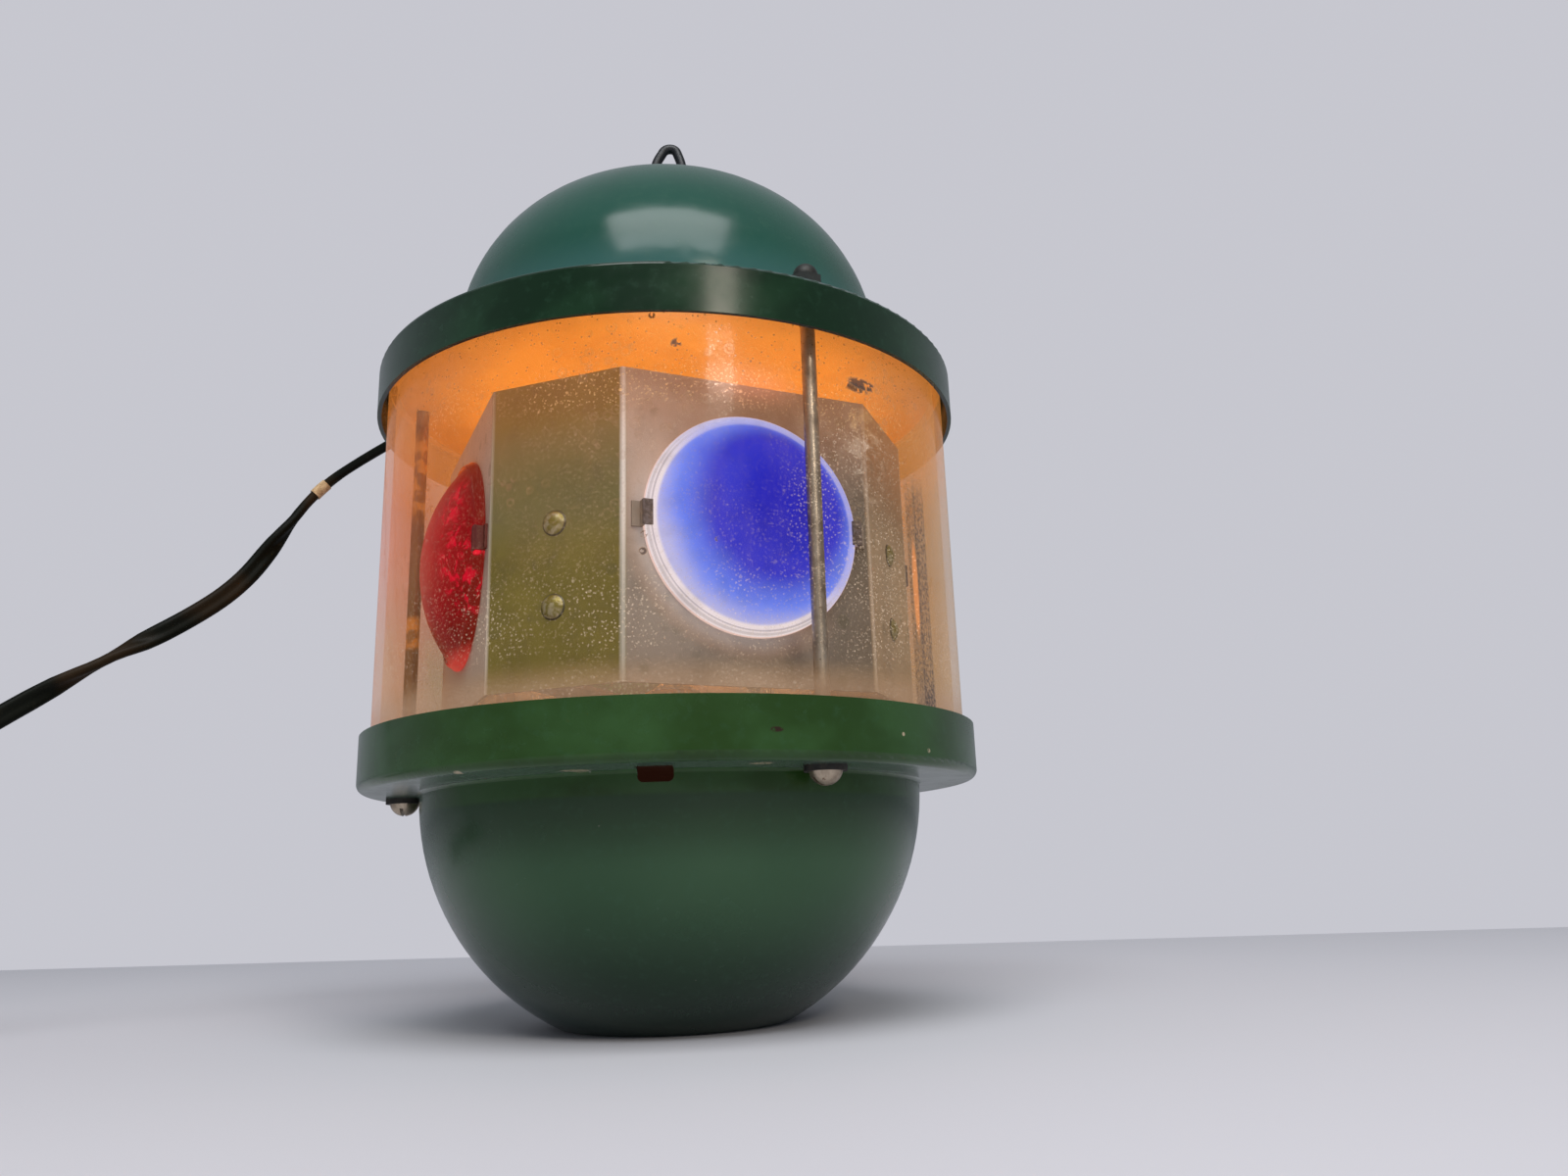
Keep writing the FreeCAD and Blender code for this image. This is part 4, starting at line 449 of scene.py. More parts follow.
def drum_metal(colours):
    """Thin dull sheet: greyish on the wide faces with a painted highlight and painted shade, olive on the narrow
    ones and tan on one as a painted reflection, a painted highlight at a bend and a faint painted glow near the
    top.
    """
    sheet = Finish("drum_sheet_metal", Metallic=0.2)
    z = sheet.axes()[2]
    cloud = sheet.noise(0.018, 4.0, 0.6, 0.3)
    blot = sheet.noise(0.0045, 4.0, 0.65)
    apothem = wide_apothem()
    skin = (apothem - 0.0006, apothem - 0.0001)
    narrow = sheet.farthest(NARROW_BEARINGS)
    on_narrow = narrow.ramp(apothem + DRUM_STEP - 0.0008, apothem + DRUM_STEP - 0.0002)
    on_wide = sheet.farthest(WIDE_BEARINGS).ramp(*skin)
    on_red, on_blue = (sheet.along(bearing_way(LENS_BEARINGS[name])).ramp(*skin) for name in ("red", "blue"))
    inside = 1.0 - (on_narrow | on_wide)
    lit = z.fade(0.080, 0.100)
    level = sheet.along(bearing_way(WIDE_BEARINGS[0] + 90.0))
    mottle = cloud.fade(0.35, 0.65)
    grey = sheet.layers(
        colours.drum_grey,
        (mottle, colours.drum_pale),
        # Paler towards one upper corner of a wide face: painted highlight.
        (level.fade(0.0, -0.024) * z.fade(0.102, 0.126) * 0.85, colours.drum_painted_highlight),
        # Darker on the other side, low down: painted shade.
        (level.fade(0.006, 0.024) * z.fade(0.132, 0.116) * 0.60, colours.drum_painted_shade),
    )
    # One narrow face is tan low and brown high: a painted reflection of warm light.
    tan = sheet.mix(z.fade(0.128, 0.104), colours.drum_brown_reflection, colours.drum_tan_reflection)
    olive = sheet.layers(
        colours.drum_olive,
        (mottle, colours.drum_olive_deep),
        (z.fade(0.100, 0.112) * z.fade(0.134, 0.126) * 0.6, colours.drum_sage),
        (sheet.along(bearing_way(NARROW_BEARINGS[0])).fade(0.030, 0.050), tan),
    )
    spots = sheet.dots(0.0075).fade(0.26, 0.16) * sheet.noise(0.017).fade(0.50, 0.58, 0.0, 0.35)
    # One bend beside the blue lens gets a bright painted highlight.
    turn = math.sqrt(2.0) * (apothem + DRUM_STEP) - apothem
    reach = math.hypot(apothem, turn)
    past = sheet.along(bearing_way(WIDE_BEARINGS[0] - math.degrees(math.atan2(turn, apothem))))
    bend = past.fade(reach - 0.00050, reach - 0.00016) * on_wide * z.fade(0.085, 0.118, 0.35, 0.9)
    base = sheet.layers(
        grey,
        (on_narrow, olive),
        (blot.fade(0.52, 0.72, 0.0, 0.22), (0.10, 0.085, 0.045)),
        (on_red * z.fade(0.106, 0.084, 0.35, 1.0), (0.62, 0.48, 0.35)),
        (spots, (0.075, 0.070, 0.030)),
        (inside, sheet.mix(lit, (0.20, 0.155, 0.11), (0.60, 0.42, 0.26))),
        (bend, (0.90, 0.82, 0.74)),
        # A faint pale line along each wide face's edges: painted highlight on the bends.
        (on_wide * narrow.fade(apothem + 0.0049, apothem + 0.0053, 0.0, 0.3), (0.62, 0.56, 0.48)),
    )
    sheet.set(Base_Color=base, Roughness=blot.ramp(0.3, 0.7, 0.46, 0.62))
    # Light of the blue lens spills on the sheet below and beside it.
    middle = lens_middle("blue")
    across = sheet.along(bearing_way(LENS_BEARINGS["blue"] + 90.0), middle)
    up = sheet.along(UP, middle)
    spill = sheet.length(across, up).fade(0.0315, 0.0256) * on_blue * (across + up).fade(0.004, -0.026)
    # The drum's upper part glows faintly orange, and its inside glows where lit: painted light from the lamp.
    power = inside * lit * 0.25 + z.fade(0.112, 0.141, 0.0, 0.16) + spill * 0.20
    sheet.set(Emission_Color=sheet.mix(spill, (1.0, 0.36, 0.12), (0.80, 0.70, 0.70)), Emission_Strength=power)
    return sheet.bump(sheet.noise(0.018), 0.0004, 0.2)


def clip_metal(colours):
    """Sheet clip: its foot is dull as the drum, its lip over the lens is darkened, and by the red lens it is tinted
    with painted red light.
    """
    clip = Finish("lens_clip_metal", Metallic=0.2, Roughness=0.5, Specular_IOR_Level=0.3)
    apothem = wide_apothem()
    rust = clip.noise(0.0008, 3.0).fade(0.42, 0.6)
    # Clips by the red lens are tinted red: painted red light from the lens.
    red_lit_side = clip.along(bearing_way(LENS_BEARINGS["red"])).fade(apothem - 0.001, apothem - 0.0005)
    dark = clip.layers((0.150, 0.115, 0.105), (rust, (0.085, 0.060, 0.050)), (red_lit_side, (0.10, 0.006, 0.006)))
    cloud = clip.noise(0.003)
    grey = clip.layers(colours.drum_grey, (cloud, colours.drum_pale), (red_lit_side, (0.12, 0.020, 0.014)))
    lip = clip.farthest(WIDE_BEARINGS).ramp(apothem + 0.0020, apothem + 0.0023)
    clip.set(Base_Color=clip.mix(lip, grey, dark))
    return clip.bump(clip.noise(0.0006), 0.00004, 0.3)


def rivet_metal(colours):
    """Rivet head, painted over with the drum's dirt, with a dark ring at its foot."""
    rivet = Finish("rivet_head_metal", Metallic=0.4, Roughness=0.38)
    seat = wide_apothem() + DRUM_STEP
    grain = rivet.noise(0.0012, 3.0).fade(0.4, 0.65)
    ring = rivet.farthest(NARROW_BEARINGS).ramp(seat + 0.0004, seat + 0.0002)
    base = rivet.layers(colours.drum_olive, (grain, (0.36, 0.30, 0.16)), (ring, (0.06, 0.05, 0.025)))
    rivet.set(Base_Color=base)
    return rivet.bump(rivet.noise(0.0007), 0.00004, 0.3)


def tie_bolt_metal():
    """Drawn steel bolt with rust specks; the one on the left is painted browner, with painted orange glints, for
    the lamp's light on it.
    """
    bolt = Finish("drawn_steel", Metallic=0.9)
    x, _, z = bolt.axes()
    cloud = bolt.noise(0.006, 4.0, 0.6)
    lines = bolt.noise(0.0006, 3.0, 0.6, stretch=(1.0, 1.0, 0.05))
    rust = bolt.noise(0.0013, 4.0, 0.65).fade(0.66, 0.72) | bolt.spot((0.0318, -0.0628, 0.1075), 0.0017, 0.4)
    # The left bolt is painted browner and glints orange: painted light from the lamp.
    left = x.fade(-0.050, -0.060) * (z.fade(0.062, 0.066) * z.fade(0.156, 0.150))
    base = bolt.layers(
        (0.46, 0.38, 0.29),
        (cloud.fade(0.4, 0.7), (0.22, 0.175, 0.13)),
        (lines.fade(0.4, 0.7, 0.0, 0.35), (0.24, 0.19, 0.14)),
        (rust, (0.09, 0.035, 0.015)),
        (left, (0.20, 0.08, 0.025)),
    )
    upper = z.fade(0.124, 0.130) * z.fade(0.152, 0.146)
    lower = z.fade(0.091, 0.093) * z.fade(0.101, 0.099)
    lit = (upper | lower) * bolt.noise(0.0035, 3.0, 0.6).fade(0.40, 0.56, 0.25, 1.0)
    bolt.set(Base_Color=base, Roughness=cloud.ramp(0.3, 0.75, 0.30, 0.52))
    bolt.set(Emission_Color=(0.95, 0.26, 0.02), Emission_Strength=left * lit.ramp(0.0, 1.0, 0.04, 0.38))
    return bolt.bump(lines, 0.00008, 0.3)


def wide_apothem():
    """Distance of the drum's wide faces from its axis, read from a lens that stands on one."""
    way = bearing_way(LENS_BEARINGS["blue"])
    return min(vertex.co.dot(way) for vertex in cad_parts["lens_blue"].data.vertices)


def lens_ball(sizes):
    """Radius of the ball that a lens's domed part is cut from."""
    rise = sizes.lens_bulge - LENS_STEP
    return (sizes.lens_dome**2 + rise**2) / (2.0 * rise)


def lens_middle(colour):
    """Centre of a lens's seat on its face of the drum."""
    low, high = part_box("lens_" + colour)
    return bearing_way(LENS_BEARINGS[colour]) * wide_apothem() + UP * ((low.z + high.z) / 2.0)


def lit_lens(name, bearing, middle, sizes, shades, strength, streaks):
    """Clear coloured lens with the lamp behind it, its glow painted in: deep in the middle, pale towards one side
    of its rim where the light leaks.
    """
    core, body, side, pale, rim_colour = shades
    glass = Finish(name, IOR=1.45, Roughness=0.34, Specular_IOR_Level=0.05)
    across, up = glass.along(bearing_way(bearing + 90.0), middle), glass.along(UP, middle)
    plain = glass.length(across, up)
    deep = glass.length(across - 0.0028, up - 0.0030) + (glass.noise(0.012, 3.0) - 0.5) * 0.004
    low_side = (across + up).fade(0.012, -0.014)
    groove = abs(plain - (sizes.lens_dome + 0.0007)).fade(0.00034, 0.00012, 0.0, 0.65) * low_side
    lip = abs(plain - (sizes.lens_radius - 0.0006)).fade(0.00030, 0.00012, 0.0, 0.45) * low_side
    last = plain.fade(sizes.lens_radius - 0.0002, sizes.lens_radius - 0.00005, 0.0, 0.6)
    dull = [0.45 * part for part in rim_colour]
    shade = glass.layers(
        core,
        (deep.fade(0.0040, 0.0165), body),
        (deep.fade(0.0150, 0.0232), side),
        (deep.fade(0.0212, 0.0268), pale),
        (plain.fade(0.0220, 0.0248, 0.0, 0.62) * across.fade(0.010, 0.024, 1.0, 0.55), pale),
        (plain.fade(0.0226, 0.0233) * low_side.ramp(0.0, 1.0, 0.24, 1.0), rim_colour),
        (groove, dull),
        (lip, dull),
        (last, [part * share for part, share in zip(rim_colour, (0.95, 0.62, 0.45))]),
    )
    if streaks:
        lines = glass.noise(0.0030, 2.0, 0.6, 1.0).fade(0.46, 0.62)
        for place, height, radius in STREAK_BLOTS:
            blot = glass.length(across - place, (up - height) * 0.55).fade(radius, radius * 0.35)
            shade = glass.mix(lines * (blot * streaks), shade, (0.56, 0.0, 0.018))
        glints = [glass.length(across - place, up + 0.0030).fade(0.0010, 0.0003) for place in (-0.0245, 0.0245)]
        shade = glass.layers(
            shade,
            (up.fade(0.0212, 0.0245) * 0.7, (0.60, 0.10, 0.012)),
            (up.fade(-0.0205, -0.0245) * 0.7, (0.60, 0.050, 0.040)),
            *((glint, (0.80, 0.01, 0.03)) for glint in glints),
        )
    ball = lens_ball(sizes)
    hub = middle + bearing_way(bearing) * (sizes.lens_bulge - ball)
    outer = glass.away(hub).fade(ball - 0.0011, ball - 0.0005)
    blotch = glass.noise(0.006, 3.0).fade(0.45, 0.7, 1.0, 0.86)
    glass.set(Base_Color=glass.mix(0.92, shade, [0.12 * part for part in core]))
    glass.set(Emission_Color=shade, Emission_Strength=blotch * outer * strength)
    return glass.bump(glass.noise(0.0030), 0.00004, 0.2)


def flex_vinyl(colours):
    """Black-brown vinyl, smooth and satin, browner in places."""
    skin = Finish("flex_vinyl", Specular_IOR_Level=0.08)
    cloud = skin.noise(0.024)
    dust = skin.noise(0.003, 3.0, 0.6).fade(0.60, 0.74, 0.0, 0.06)
    base = skin.layers(colours.flex, (cloud.fade(0.45, 0.62), colours.flex_brown), (dust, (0.12, 0.10, 0.06)))
    skin.set(Base_Color=base, Roughness=cloud.ramp(0.3, 0.7, 0.40, 0.50))
    return skin.bump(skin.noise(0.006, 1.0), 0.00005, 0.15)


def glowing_plate(colours):
    """Plate lit orange from below by the bulb, paler and pinker towards the front."""
    plate = Finish("lamp_lit_plate", Coat_Weight=0.35, Coat_Roughness=0.12, Roughness=0.45)
    x, y, z = plate.axes()
    reach = plate.length(x, y)
    cloud = plate.noise(0.014, 3.0)
    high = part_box("reflector_plate")[1].z
    pink = plate.spot((0.0037, -0.0626, high - 0.0012), 0.026, 0.9, (1.0, 1.6, 1.0))
    glow = plate.layers(
        colours.plate_glow,
        (reach.fade(0.02, 0.07), colours.plate_glow_edge),
        (cloud.fade(0.4, 0.7, 0.0, 0.3), (1.0, 0.33, 0.05)),
        (pink * 0.5, (1.0, 0.40, 0.22)),
    )
    under = z.ramp(high - 0.0002, high - 0.0006)
    # Its base colour is orange rather than cream: the bulb's warm light painted in.
    plate.set(Base_Color=plate.mix(cloud.fade(0.4, 0.65), (0.62, 0.26, 0.060), (0.54, 0.20, 0.040)))
    plate.set(Emission_Color=glow, Emission_Strength=under * reach.fade(0.046, 0.066, 0.55, 0.30))
    return plate.bump(plate.noise(0.002), 0.00005, 0.3)


def clear_glass(name, tint, alpha, strength):
    """Thin glass in the bulb's glow, denser where it turns away."""
    glass = Finish(name, Coat_Weight=0.8, Coat_Roughness=0.02, IOR=1.5, Roughness=0.05)
    glass.set(Base_Color=glass.mix(glass.noise(0.01), tint, (0.9, 0.88, 0.8)))
    glass.set(Alpha=glass.clamp(glass.facing() ** 2.5 * 0.5 + alpha))
    glass.set(Emission_Color=(1.0, 0.55, 0.2), Emission_Strength=strength)
    return glass.material


def hot_wire():
    wire = Finish("glowing_filament", Metallic=0.6, Roughness=0.5, Emission_Color=(1.0, 0.62, 0.28))
    coil = wire.noise(0.0004, 1.0).fade(0.3, 0.7, 0.7, 1.0)
    wire.set(Base_Color=wire.mix(coil, (0.3, 0.28, 0.25), (0.5, 0.45, 0.4)), Emission_Strength=coil * 9.0)
    return wire.material


def paper_tape():
    tape = Finish("paper_tape", Sheen_Weight=0.2, Roughness=0.8)
    fibre = tape.noise(0.0012, 4.0, 0.7)
    tape.set(Base_Color=tape.mix(fibre.fade(0.35, 0.65), (0.62, 0.42, 0.22), (0.42, 0.26, 0.12)))
    return tape.bump(fibre, 0.0001, 0.6)


# ---------------------------------------------------------------- mesh helpers


def finished(name, mesh, material, body="housing", smooth=35.0):
    """Turns a bmesh into a named piece at the origin that rides on a body."""
    bmesh.ops.remove_doubles(mesh, verts=mesh.verts, dist=1e-7)
    bmesh.ops.recalc_face_normals(mesh, faces=mesh.faces)
    data = bpy.data.meshes.new(name)
    mesh.to_mesh(data)
    mesh.free()
    data.materials.append(material)
    data.shade_smooth()
    data.set_sharp_from_angle(angle=math.radians(smooth))
    piece = bpy.data.objects.new(name, data)
    bpy.context.scene.collection.objects.link(piece)
    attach(piece, body)
    return piece


def spun(points, steps):
    """A full turn of an open profile, given as (reach, height) pairs, about the upright axis."""
    mesh = bmesh.new()
    corners = [mesh.verts.new((reach, 0.0, height)) for reach, height in points]
    edges = [mesh.edges.new(pair) for pair in zip(corners, corners[1:])]
    still = (0.0, 0.0, 0.0)
    turn = {"cent": still, "axis": UP, "dvec": still, "angle": math.tau, "steps": steps}
    bmesh.ops.spin(mesh, geom=corners + edges, use_merge=True, use_duplicate=False, **turn)
    bmesh.ops.remove_doubles(mesh, verts=mesh.verts, dist=1e-6)
    return mesh


def arc(centre, radius, start, end, steps):
    """Points of an arc as (reach, height) pairs; angles in degrees from level."""
    angles = [math.radians(start + (end - start) * step / steps) for step in range(steps + 1)]
    return [(centre[0] + radius * math.cos(angle), centre[1] + radius * math.sin(angle)) for angle in angles]


def facing_out(bearing, middle):
    """Placement that stands a spun piece on a face of the drum, its axis pointing outwards."""
    out = bearing_way(bearing)
    return Matrix.Translation(middle) @ Matrix((UP.cross(out), UP, out)).transposed().to_4x4()


def paint_nodes(material, *names):
    for name in names:
        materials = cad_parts[name].data.materials
        for index in range(len(materials)):
            materials[index] = material
        if not materials:
            materials.append(material)


def settings():
    return bpy.context.scene.motion_lamp


# ---------------------------------------------------------------- properties


def colour_value(name, description, value):
    return bpy.props.FloatVectorProperty(
        name=name, description=description, subtype="COLOR", size=3, min=0.0, max=1.0, default=value
    )


def length_value(name, description, value):
    return bpy.props.FloatProperty(name=name, description=description, default=value, unit="LENGTH")


class LampColours(bpy.types.PropertyGroup):
    """Colours of the lamp's finishes."""

    # The enamel greens are partly painted reflections: bluish on the dome for a blue wall, yellower on the rims for
    # orange light.
    enamel: colour_value("Dome enamel", "Bluish green of the dome", (0.012, 0.074, 0.052))
    enamel_deep: colour_value("Deep dome enamel", "Green of the dome's darker clouds", (0.007, 0.056, 0.037))
    enamel_pale: colour_value("Pale enamel", "Green of the enamel's pale grain", (0.045, 0.125, 0.075))
    enamel_skirt: colour_value("Cap rim enamel", "Dark green of the cap's rim", (0.003, 0.018, 0.006))
    enamel_skirt_pale: colour_value("Pale cap rim enamel", "Paler green of the cap's rim", (0.008, 0.034, 0.013))
    enamel_rim: colour_value("Bowl rim enamel", "Green of the bowl's rim", (0.018, 0.050, 0.009))
    enamel_rim_pale: colour_value("Pale bowl rim enamel", "Paler green of the bowl's rim", (0.028, 0.076, 0.020))
    enamel_bowl: colour_value("Bowl enamel", "Green of the bowl", (0.026, 0.074, 0.032))
    enamel_bowl_pale: colour_value("Pale bowl enamel", "Paler green of the bowl", (0.040, 0.098, 0.046))
    # Painted shade under the bowl's rim.
    enamel_neck_shade: colour_value("Bowl neck enamel", "Green of the bowl under its rim", (0.012, 0.036, 0.010))
    # Painted shade towards the bowl's foot.
    enamel_foot_shade: colour_value("Foot enamel", "Green towards the foot", (0.0015, 0.014, 0.005))
    chip_dark: colour_value("Dark chip", "Bare metal in a chip of the enamel", (0.028, 0.016, 0.010))
    chip_cream: colour_value("Pale scratch", "Primer in a scratch of the enamel", (0.40, 0.33, 0.22))
    haze_salmon: colour_value("Salmon haze", "Glow of the tube's haze on one side", (0.36, 0.075, 0.014))
    haze_tan: colour_value("Tan haze", "Glow of the tube's haze on the other side", (0.235, 0.125, 0.034))
    haze_orange: colour_value("Orange haze", "Glow of the tube's haze near its top", (0.44, 0.16, 0.030))
    haze_sand: colour_value("Sandy haze", "Glow of the dust at the tube's foot", (0.24, 0.135, 0.072))
    plate_glow: colour_value("Plate glow", "Orange of the lit plate near the bulb", (1.0, 0.33, 0.024))
    plate_glow_edge: colour_value("Plate glow, edge", "Orange of the lit plate at its edge", (0.92, 0.28, 0.020))
    drum_grey: colour_value("Drum grey", "Darker colour of the drum's wide faces", (0.215, 0.166, 0.125))
    drum_pale: colour_value("Drum pale grey", "Paler colour of the drum's wide faces", (0.318, 0.246, 0.188))
    # Painted highlight on a wide face.
    drum_painted_highlight: colour_value("Drum bright grey", "Palest corner of a wide face", (0.50, 0.37, 0.29))
    # Painted shade on a wide face.
    drum_painted_shade: colour_value("Drum grime", "Shaded side of a wide face", (0.105, 0.083, 0.052))
    drum_olive: colour_value("Drum olive", "Olive of the drum's narrow faces", (0.205, 0.158, 0.022))
    drum_olive_deep: colour_value("Drum deep olive", "Darker olive of the narrow faces", (0.158, 0.122, 0.016))
    drum_sage: colour_value("Drum sage", "Greyer green of the narrow faces' upper part", (0.19, 0.165, 0.065))
    # Painted reflection of warm light on one narrow face.
    drum_tan_reflection: colour_value("Drum tan", "Tan of one narrow face", (0.50, 0.34, 0.19))
    drum_brown_reflection: colour_value("Drum brown", "Brown of that face's upper part", (0.30, 0.17, 0.080))
    flex: colour_value("Flex", "Black of the flex", (0.004, 0.005, 0.003))
    flex_brown: colour_value("Flex brown", "Brownish tint of the flex", (0.024, 0.014, 0.006))


class LampSizes(bpy.types.PropertyGroup):
    """Sizes of the pieces that are modelled here."""

    flex_thickness: length_value("Flex thickness", "Thickness of one conductor of the flex", 0.0027)
    flex_width: length_value("Flex width", "Width of both conductors of the flex", 0.0054)
    cord_length: length_value("Cord length", "Length of the cord from its exit to the plug", 1.8)
    turn_gap: length_value("Turn spacing", "Distance between turns of the coiled cord", 0.0032)
    lens_radius: length_value("Lens radius", "Radius of a lens at its rim", 0.0254)
    lens_dome: length_value("Lens dome radius", "Radius of a lens's domed part", 0.0234)
    lens_bulge: length_value("Lens bulge", "Height of a lens from its seat", 0.0104)


class MotionLamp(bpy.types.PropertyGroup):
    """All settings of the lamp."""

    colours: bpy.props.PointerProperty(type=LampColours, name="Colours", description="Colours of the finishes")
    sizes: bpy.props.PointerProperty(type=LampSizes, name="Sizes", description="Sizes of the added pieces")


# ---------------------------------------------------------------- operators


class LAMP_OT_camera(bpy.types.Operator):
    """Adds the camera: low in front of the lamp, looking up at it"""

    bl_idname = "lamp.camera"
    bl_label = "Camera"

    def execute(self, context):
        eye = Vector((0.0, -0.293204, 0.032087))
        ahead = Vector((0.096368, 0.964774, 0.244796))
        right = Vector((0.995301, -0.091077, -0.032869))
        data = bpy.data.cameras.new("camera")
        data.lens = 26.431
        data.sensor_width = 36.0
        data.sensor_fit = "HORIZONTAL"
        data.clip_start = 0.01
        data.clip_end = 50.0
        camera = bpy.data.objects.new("camera", data)
        turn = Matrix((right, right.cross(ahead), -ahead)).transposed()
        camera.matrix_world = Matrix.Translation(eye) @ turn.to_4x4()
        context.scene.collection.objects.link(camera)
        context.scene.camera = camera
        return {"FINISHED"}


def cord_points():
    """Control points of the cord: the hanging run, the turns of the coil and the lead to the plug."""
    sizes = settings().sizes
    half = sizes.flex_width / 2.0
    outer = COIL_OUTER - sizes.flex_thickness / 2.0 - 0.0003
    inner = outer - sizes.turn_gap * COIL_TURNS
    low, high = half + 0.0001, half * 3.0 + 0.0003
    start, wound = -90.0, -90.0 - 360.0 * COIL_TURNS
    points = [CORD_EXIT, *CORD_ROUTE, *coil_layer(start, outer, inner, low)]
    points += [ring_point(wound - 22.5 * step, inner, low + (high - low) * step / 4.0) for step in range(1, 4)]
    points += coil_layer(wound - 90.0, inner, outer, high)
    near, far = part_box("plug_lead")
    axis = (near + far) / 2.0
    return [*points, (COIL.x + 0.014, axis.y, axis.z), (far.x + 0.0005, axis.y, axis.z)]


def coil_layer(start, first, last, height):
    """One layer of the coil, wound from one radius to another."""
    count = int(COIL_TURNS * TURN_STEPS)
    turned = [(step / count, 360.0 * COIL_TURNS * step / count) for step in range(count + 1)]
    return [ring_point(start - angle, first + (last - first) * share, height) for share, angle in turned]


def ring_point(angle, reach, height):
    turn = math.radians(angle)
    return (COIL.x + reach * math.cos(turn), COIL.y + reach * math.sin(turn), height)


def smooth_line(name, points):
    """A smooth line drawn by control points, handed over as the points of its mesh."""
    curve = bpy.data.curves.new(name, "CURVE")
    curve.dimensions = "3D"
    curve.resolution_u = 8
    spline = curve.splines.new("NURBS")
    spline.points.add(len(points) - 1)
    for point, place in zip(spline.points, points):
        point.co = (*place, 1.0)
    spline.order_u = 3
    spline.use_endpoint_u = True
    holder = bpy.data.objects.new(name, curve)
    bpy.context.scene.collection.objects.link(holder)
    bpy.context.view_layer.update()
    graph = bpy.context.evaluated_depsgraph_get()
    line = bpy.data.meshes.new_from_object(holder.evaluated_get(graph))
    places = [vertex.co.copy() for vertex in line.vertices]
    bpy.data.objects.remove(holder)
    bpy.data.curves.remove(curve)
    bpy.data.meshes.remove(line)
    return places


def flex_outline(sizes, sweep):
    """Outline of the flex, or of a band round it: two round ends, drawn through a sweep either way."""
    radius = sizes.flex_thickness / 2.0
    shift = sizes.flex_width / 2.0 - radius
    outline = []
    for side in (1.0, -1.0):
        for step in range(9):
            angle = math.radians(sweep * (step / 4.0 - 1.0))
            outline.append((side * (shift + radius * math.cos(angle)), side * radius * math.sin(angle)))
    return outline


def twist_at(distance):
    for (start, first), (end, second) in zip(CORD_TWIST, CORD_TWIST[1:]):
        if distance <= end:
            share = (distance - start) / (end - start)
            share = share * share * (3.0 - 2.0 * share)
            return first + (second - first) * share
    return CORD_TWIST[-1][1]


def swept(line, outline, twist):
    """Draws an outline along a line of points; twist gives its turn in degrees at each distance."""
    mesh = bmesh.new()
    ring = [mesh.verts.new((0.0, 0.0, 0.0)) for _ in outline]
    edges = [mesh.edges.new((ring[index - 1], ring[index])) for index in range(len(ring))]
    first = list(ring)
    travelled = 0.0
    for index, place in enumerate(line):
        if index:
            travelled += (place - line[index - 1]).length
            made = bmesh.ops.extrude_edge_only(mesh, edges=edges)["geom"]
            fresh = {item for item in made if isinstance(item, bmesh.types.BMVert)}
            joined = [[edge.other_vert(vert) for edge in vert.link_edges] for vert in ring]
            ring = [next(other for other in others if other in fresh) for others in joined]
            drawn = [item for item in made if isinstance(item, bmesh.types.BMEdge)]
            edges = [edge for edge in drawn if fresh.issuperset(edge.verts)]
        ahead = (line[min(index + 1, len(line) - 1)] - line[max(index - 1, 0)]).normalized()
        level = Vector((-ahead.y, ahead.x, 0.0)).normalized()
        angle = math.radians(twist(travelled))
        broad = level * math.cos(angle) + ahead.cross(level) * math.sin(angle)
        thin = ahead.cross(broad)
        for vert, (wide, thick) in zip(ring, outline):
            vert.co = place + broad * wide + thin * thick
    mesh.faces.new(first)
    mesh.faces.new(ring)
    return mesh


def measured(line, start, end):
    """The part of a line between two distances from its first point."""
    kept, travelled = [], 0.0
    for before, after in zip(line, line[1:]):
        if start <= travelled <= end:
            kept.append(before)
        travelled += (after - before).length
    return kept


class LAMP_OT_flex(bpy.types.Operator):
    """Lays the twin flex from the cap to the floor, round its coil and into the plug"""

    bl_idname = "lamp.flex"
    bl_label = "Flex, tape and tie"

    def execute(self, context):
        colours, sizes = settings().colours, settings().sizes
        line = smooth_line("cord_line", cord_points())
        mesh = swept(line, flex_outline(sizes, 128.0), twist_at)
        flex = finished("twin_flex", mesh, flex_vinyl(colours), smooth=50.0)
        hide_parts("mains_cord", "cord_coil", "plug_lead")

        low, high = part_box("cord_tape")
        middle = (low + high) / 2.0
        nearest = min(range(len(line)), key=lambda index: (line[index] - middle).length)
        distance = sum((b - a).length for a, b in zip(line[:nearest], line[1 : nearest + 1]))
        run = measured(line, distance - TAPE_HALF, distance + TAPE_HALF)
        outline = [(wide * 1.13, thick * 1.2) for wide, thick in flex_outline(sizes, 90.0)]
        mesh = swept(run, outline, lambda travelled: twist_at(distance - TAPE_HALF + travelled))
        tape = finished("tape_band", mesh, paper_tape(), smooth=50.0)
        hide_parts("cord_tape")

        tie = coil_tie()
        return {"FINISHED"}


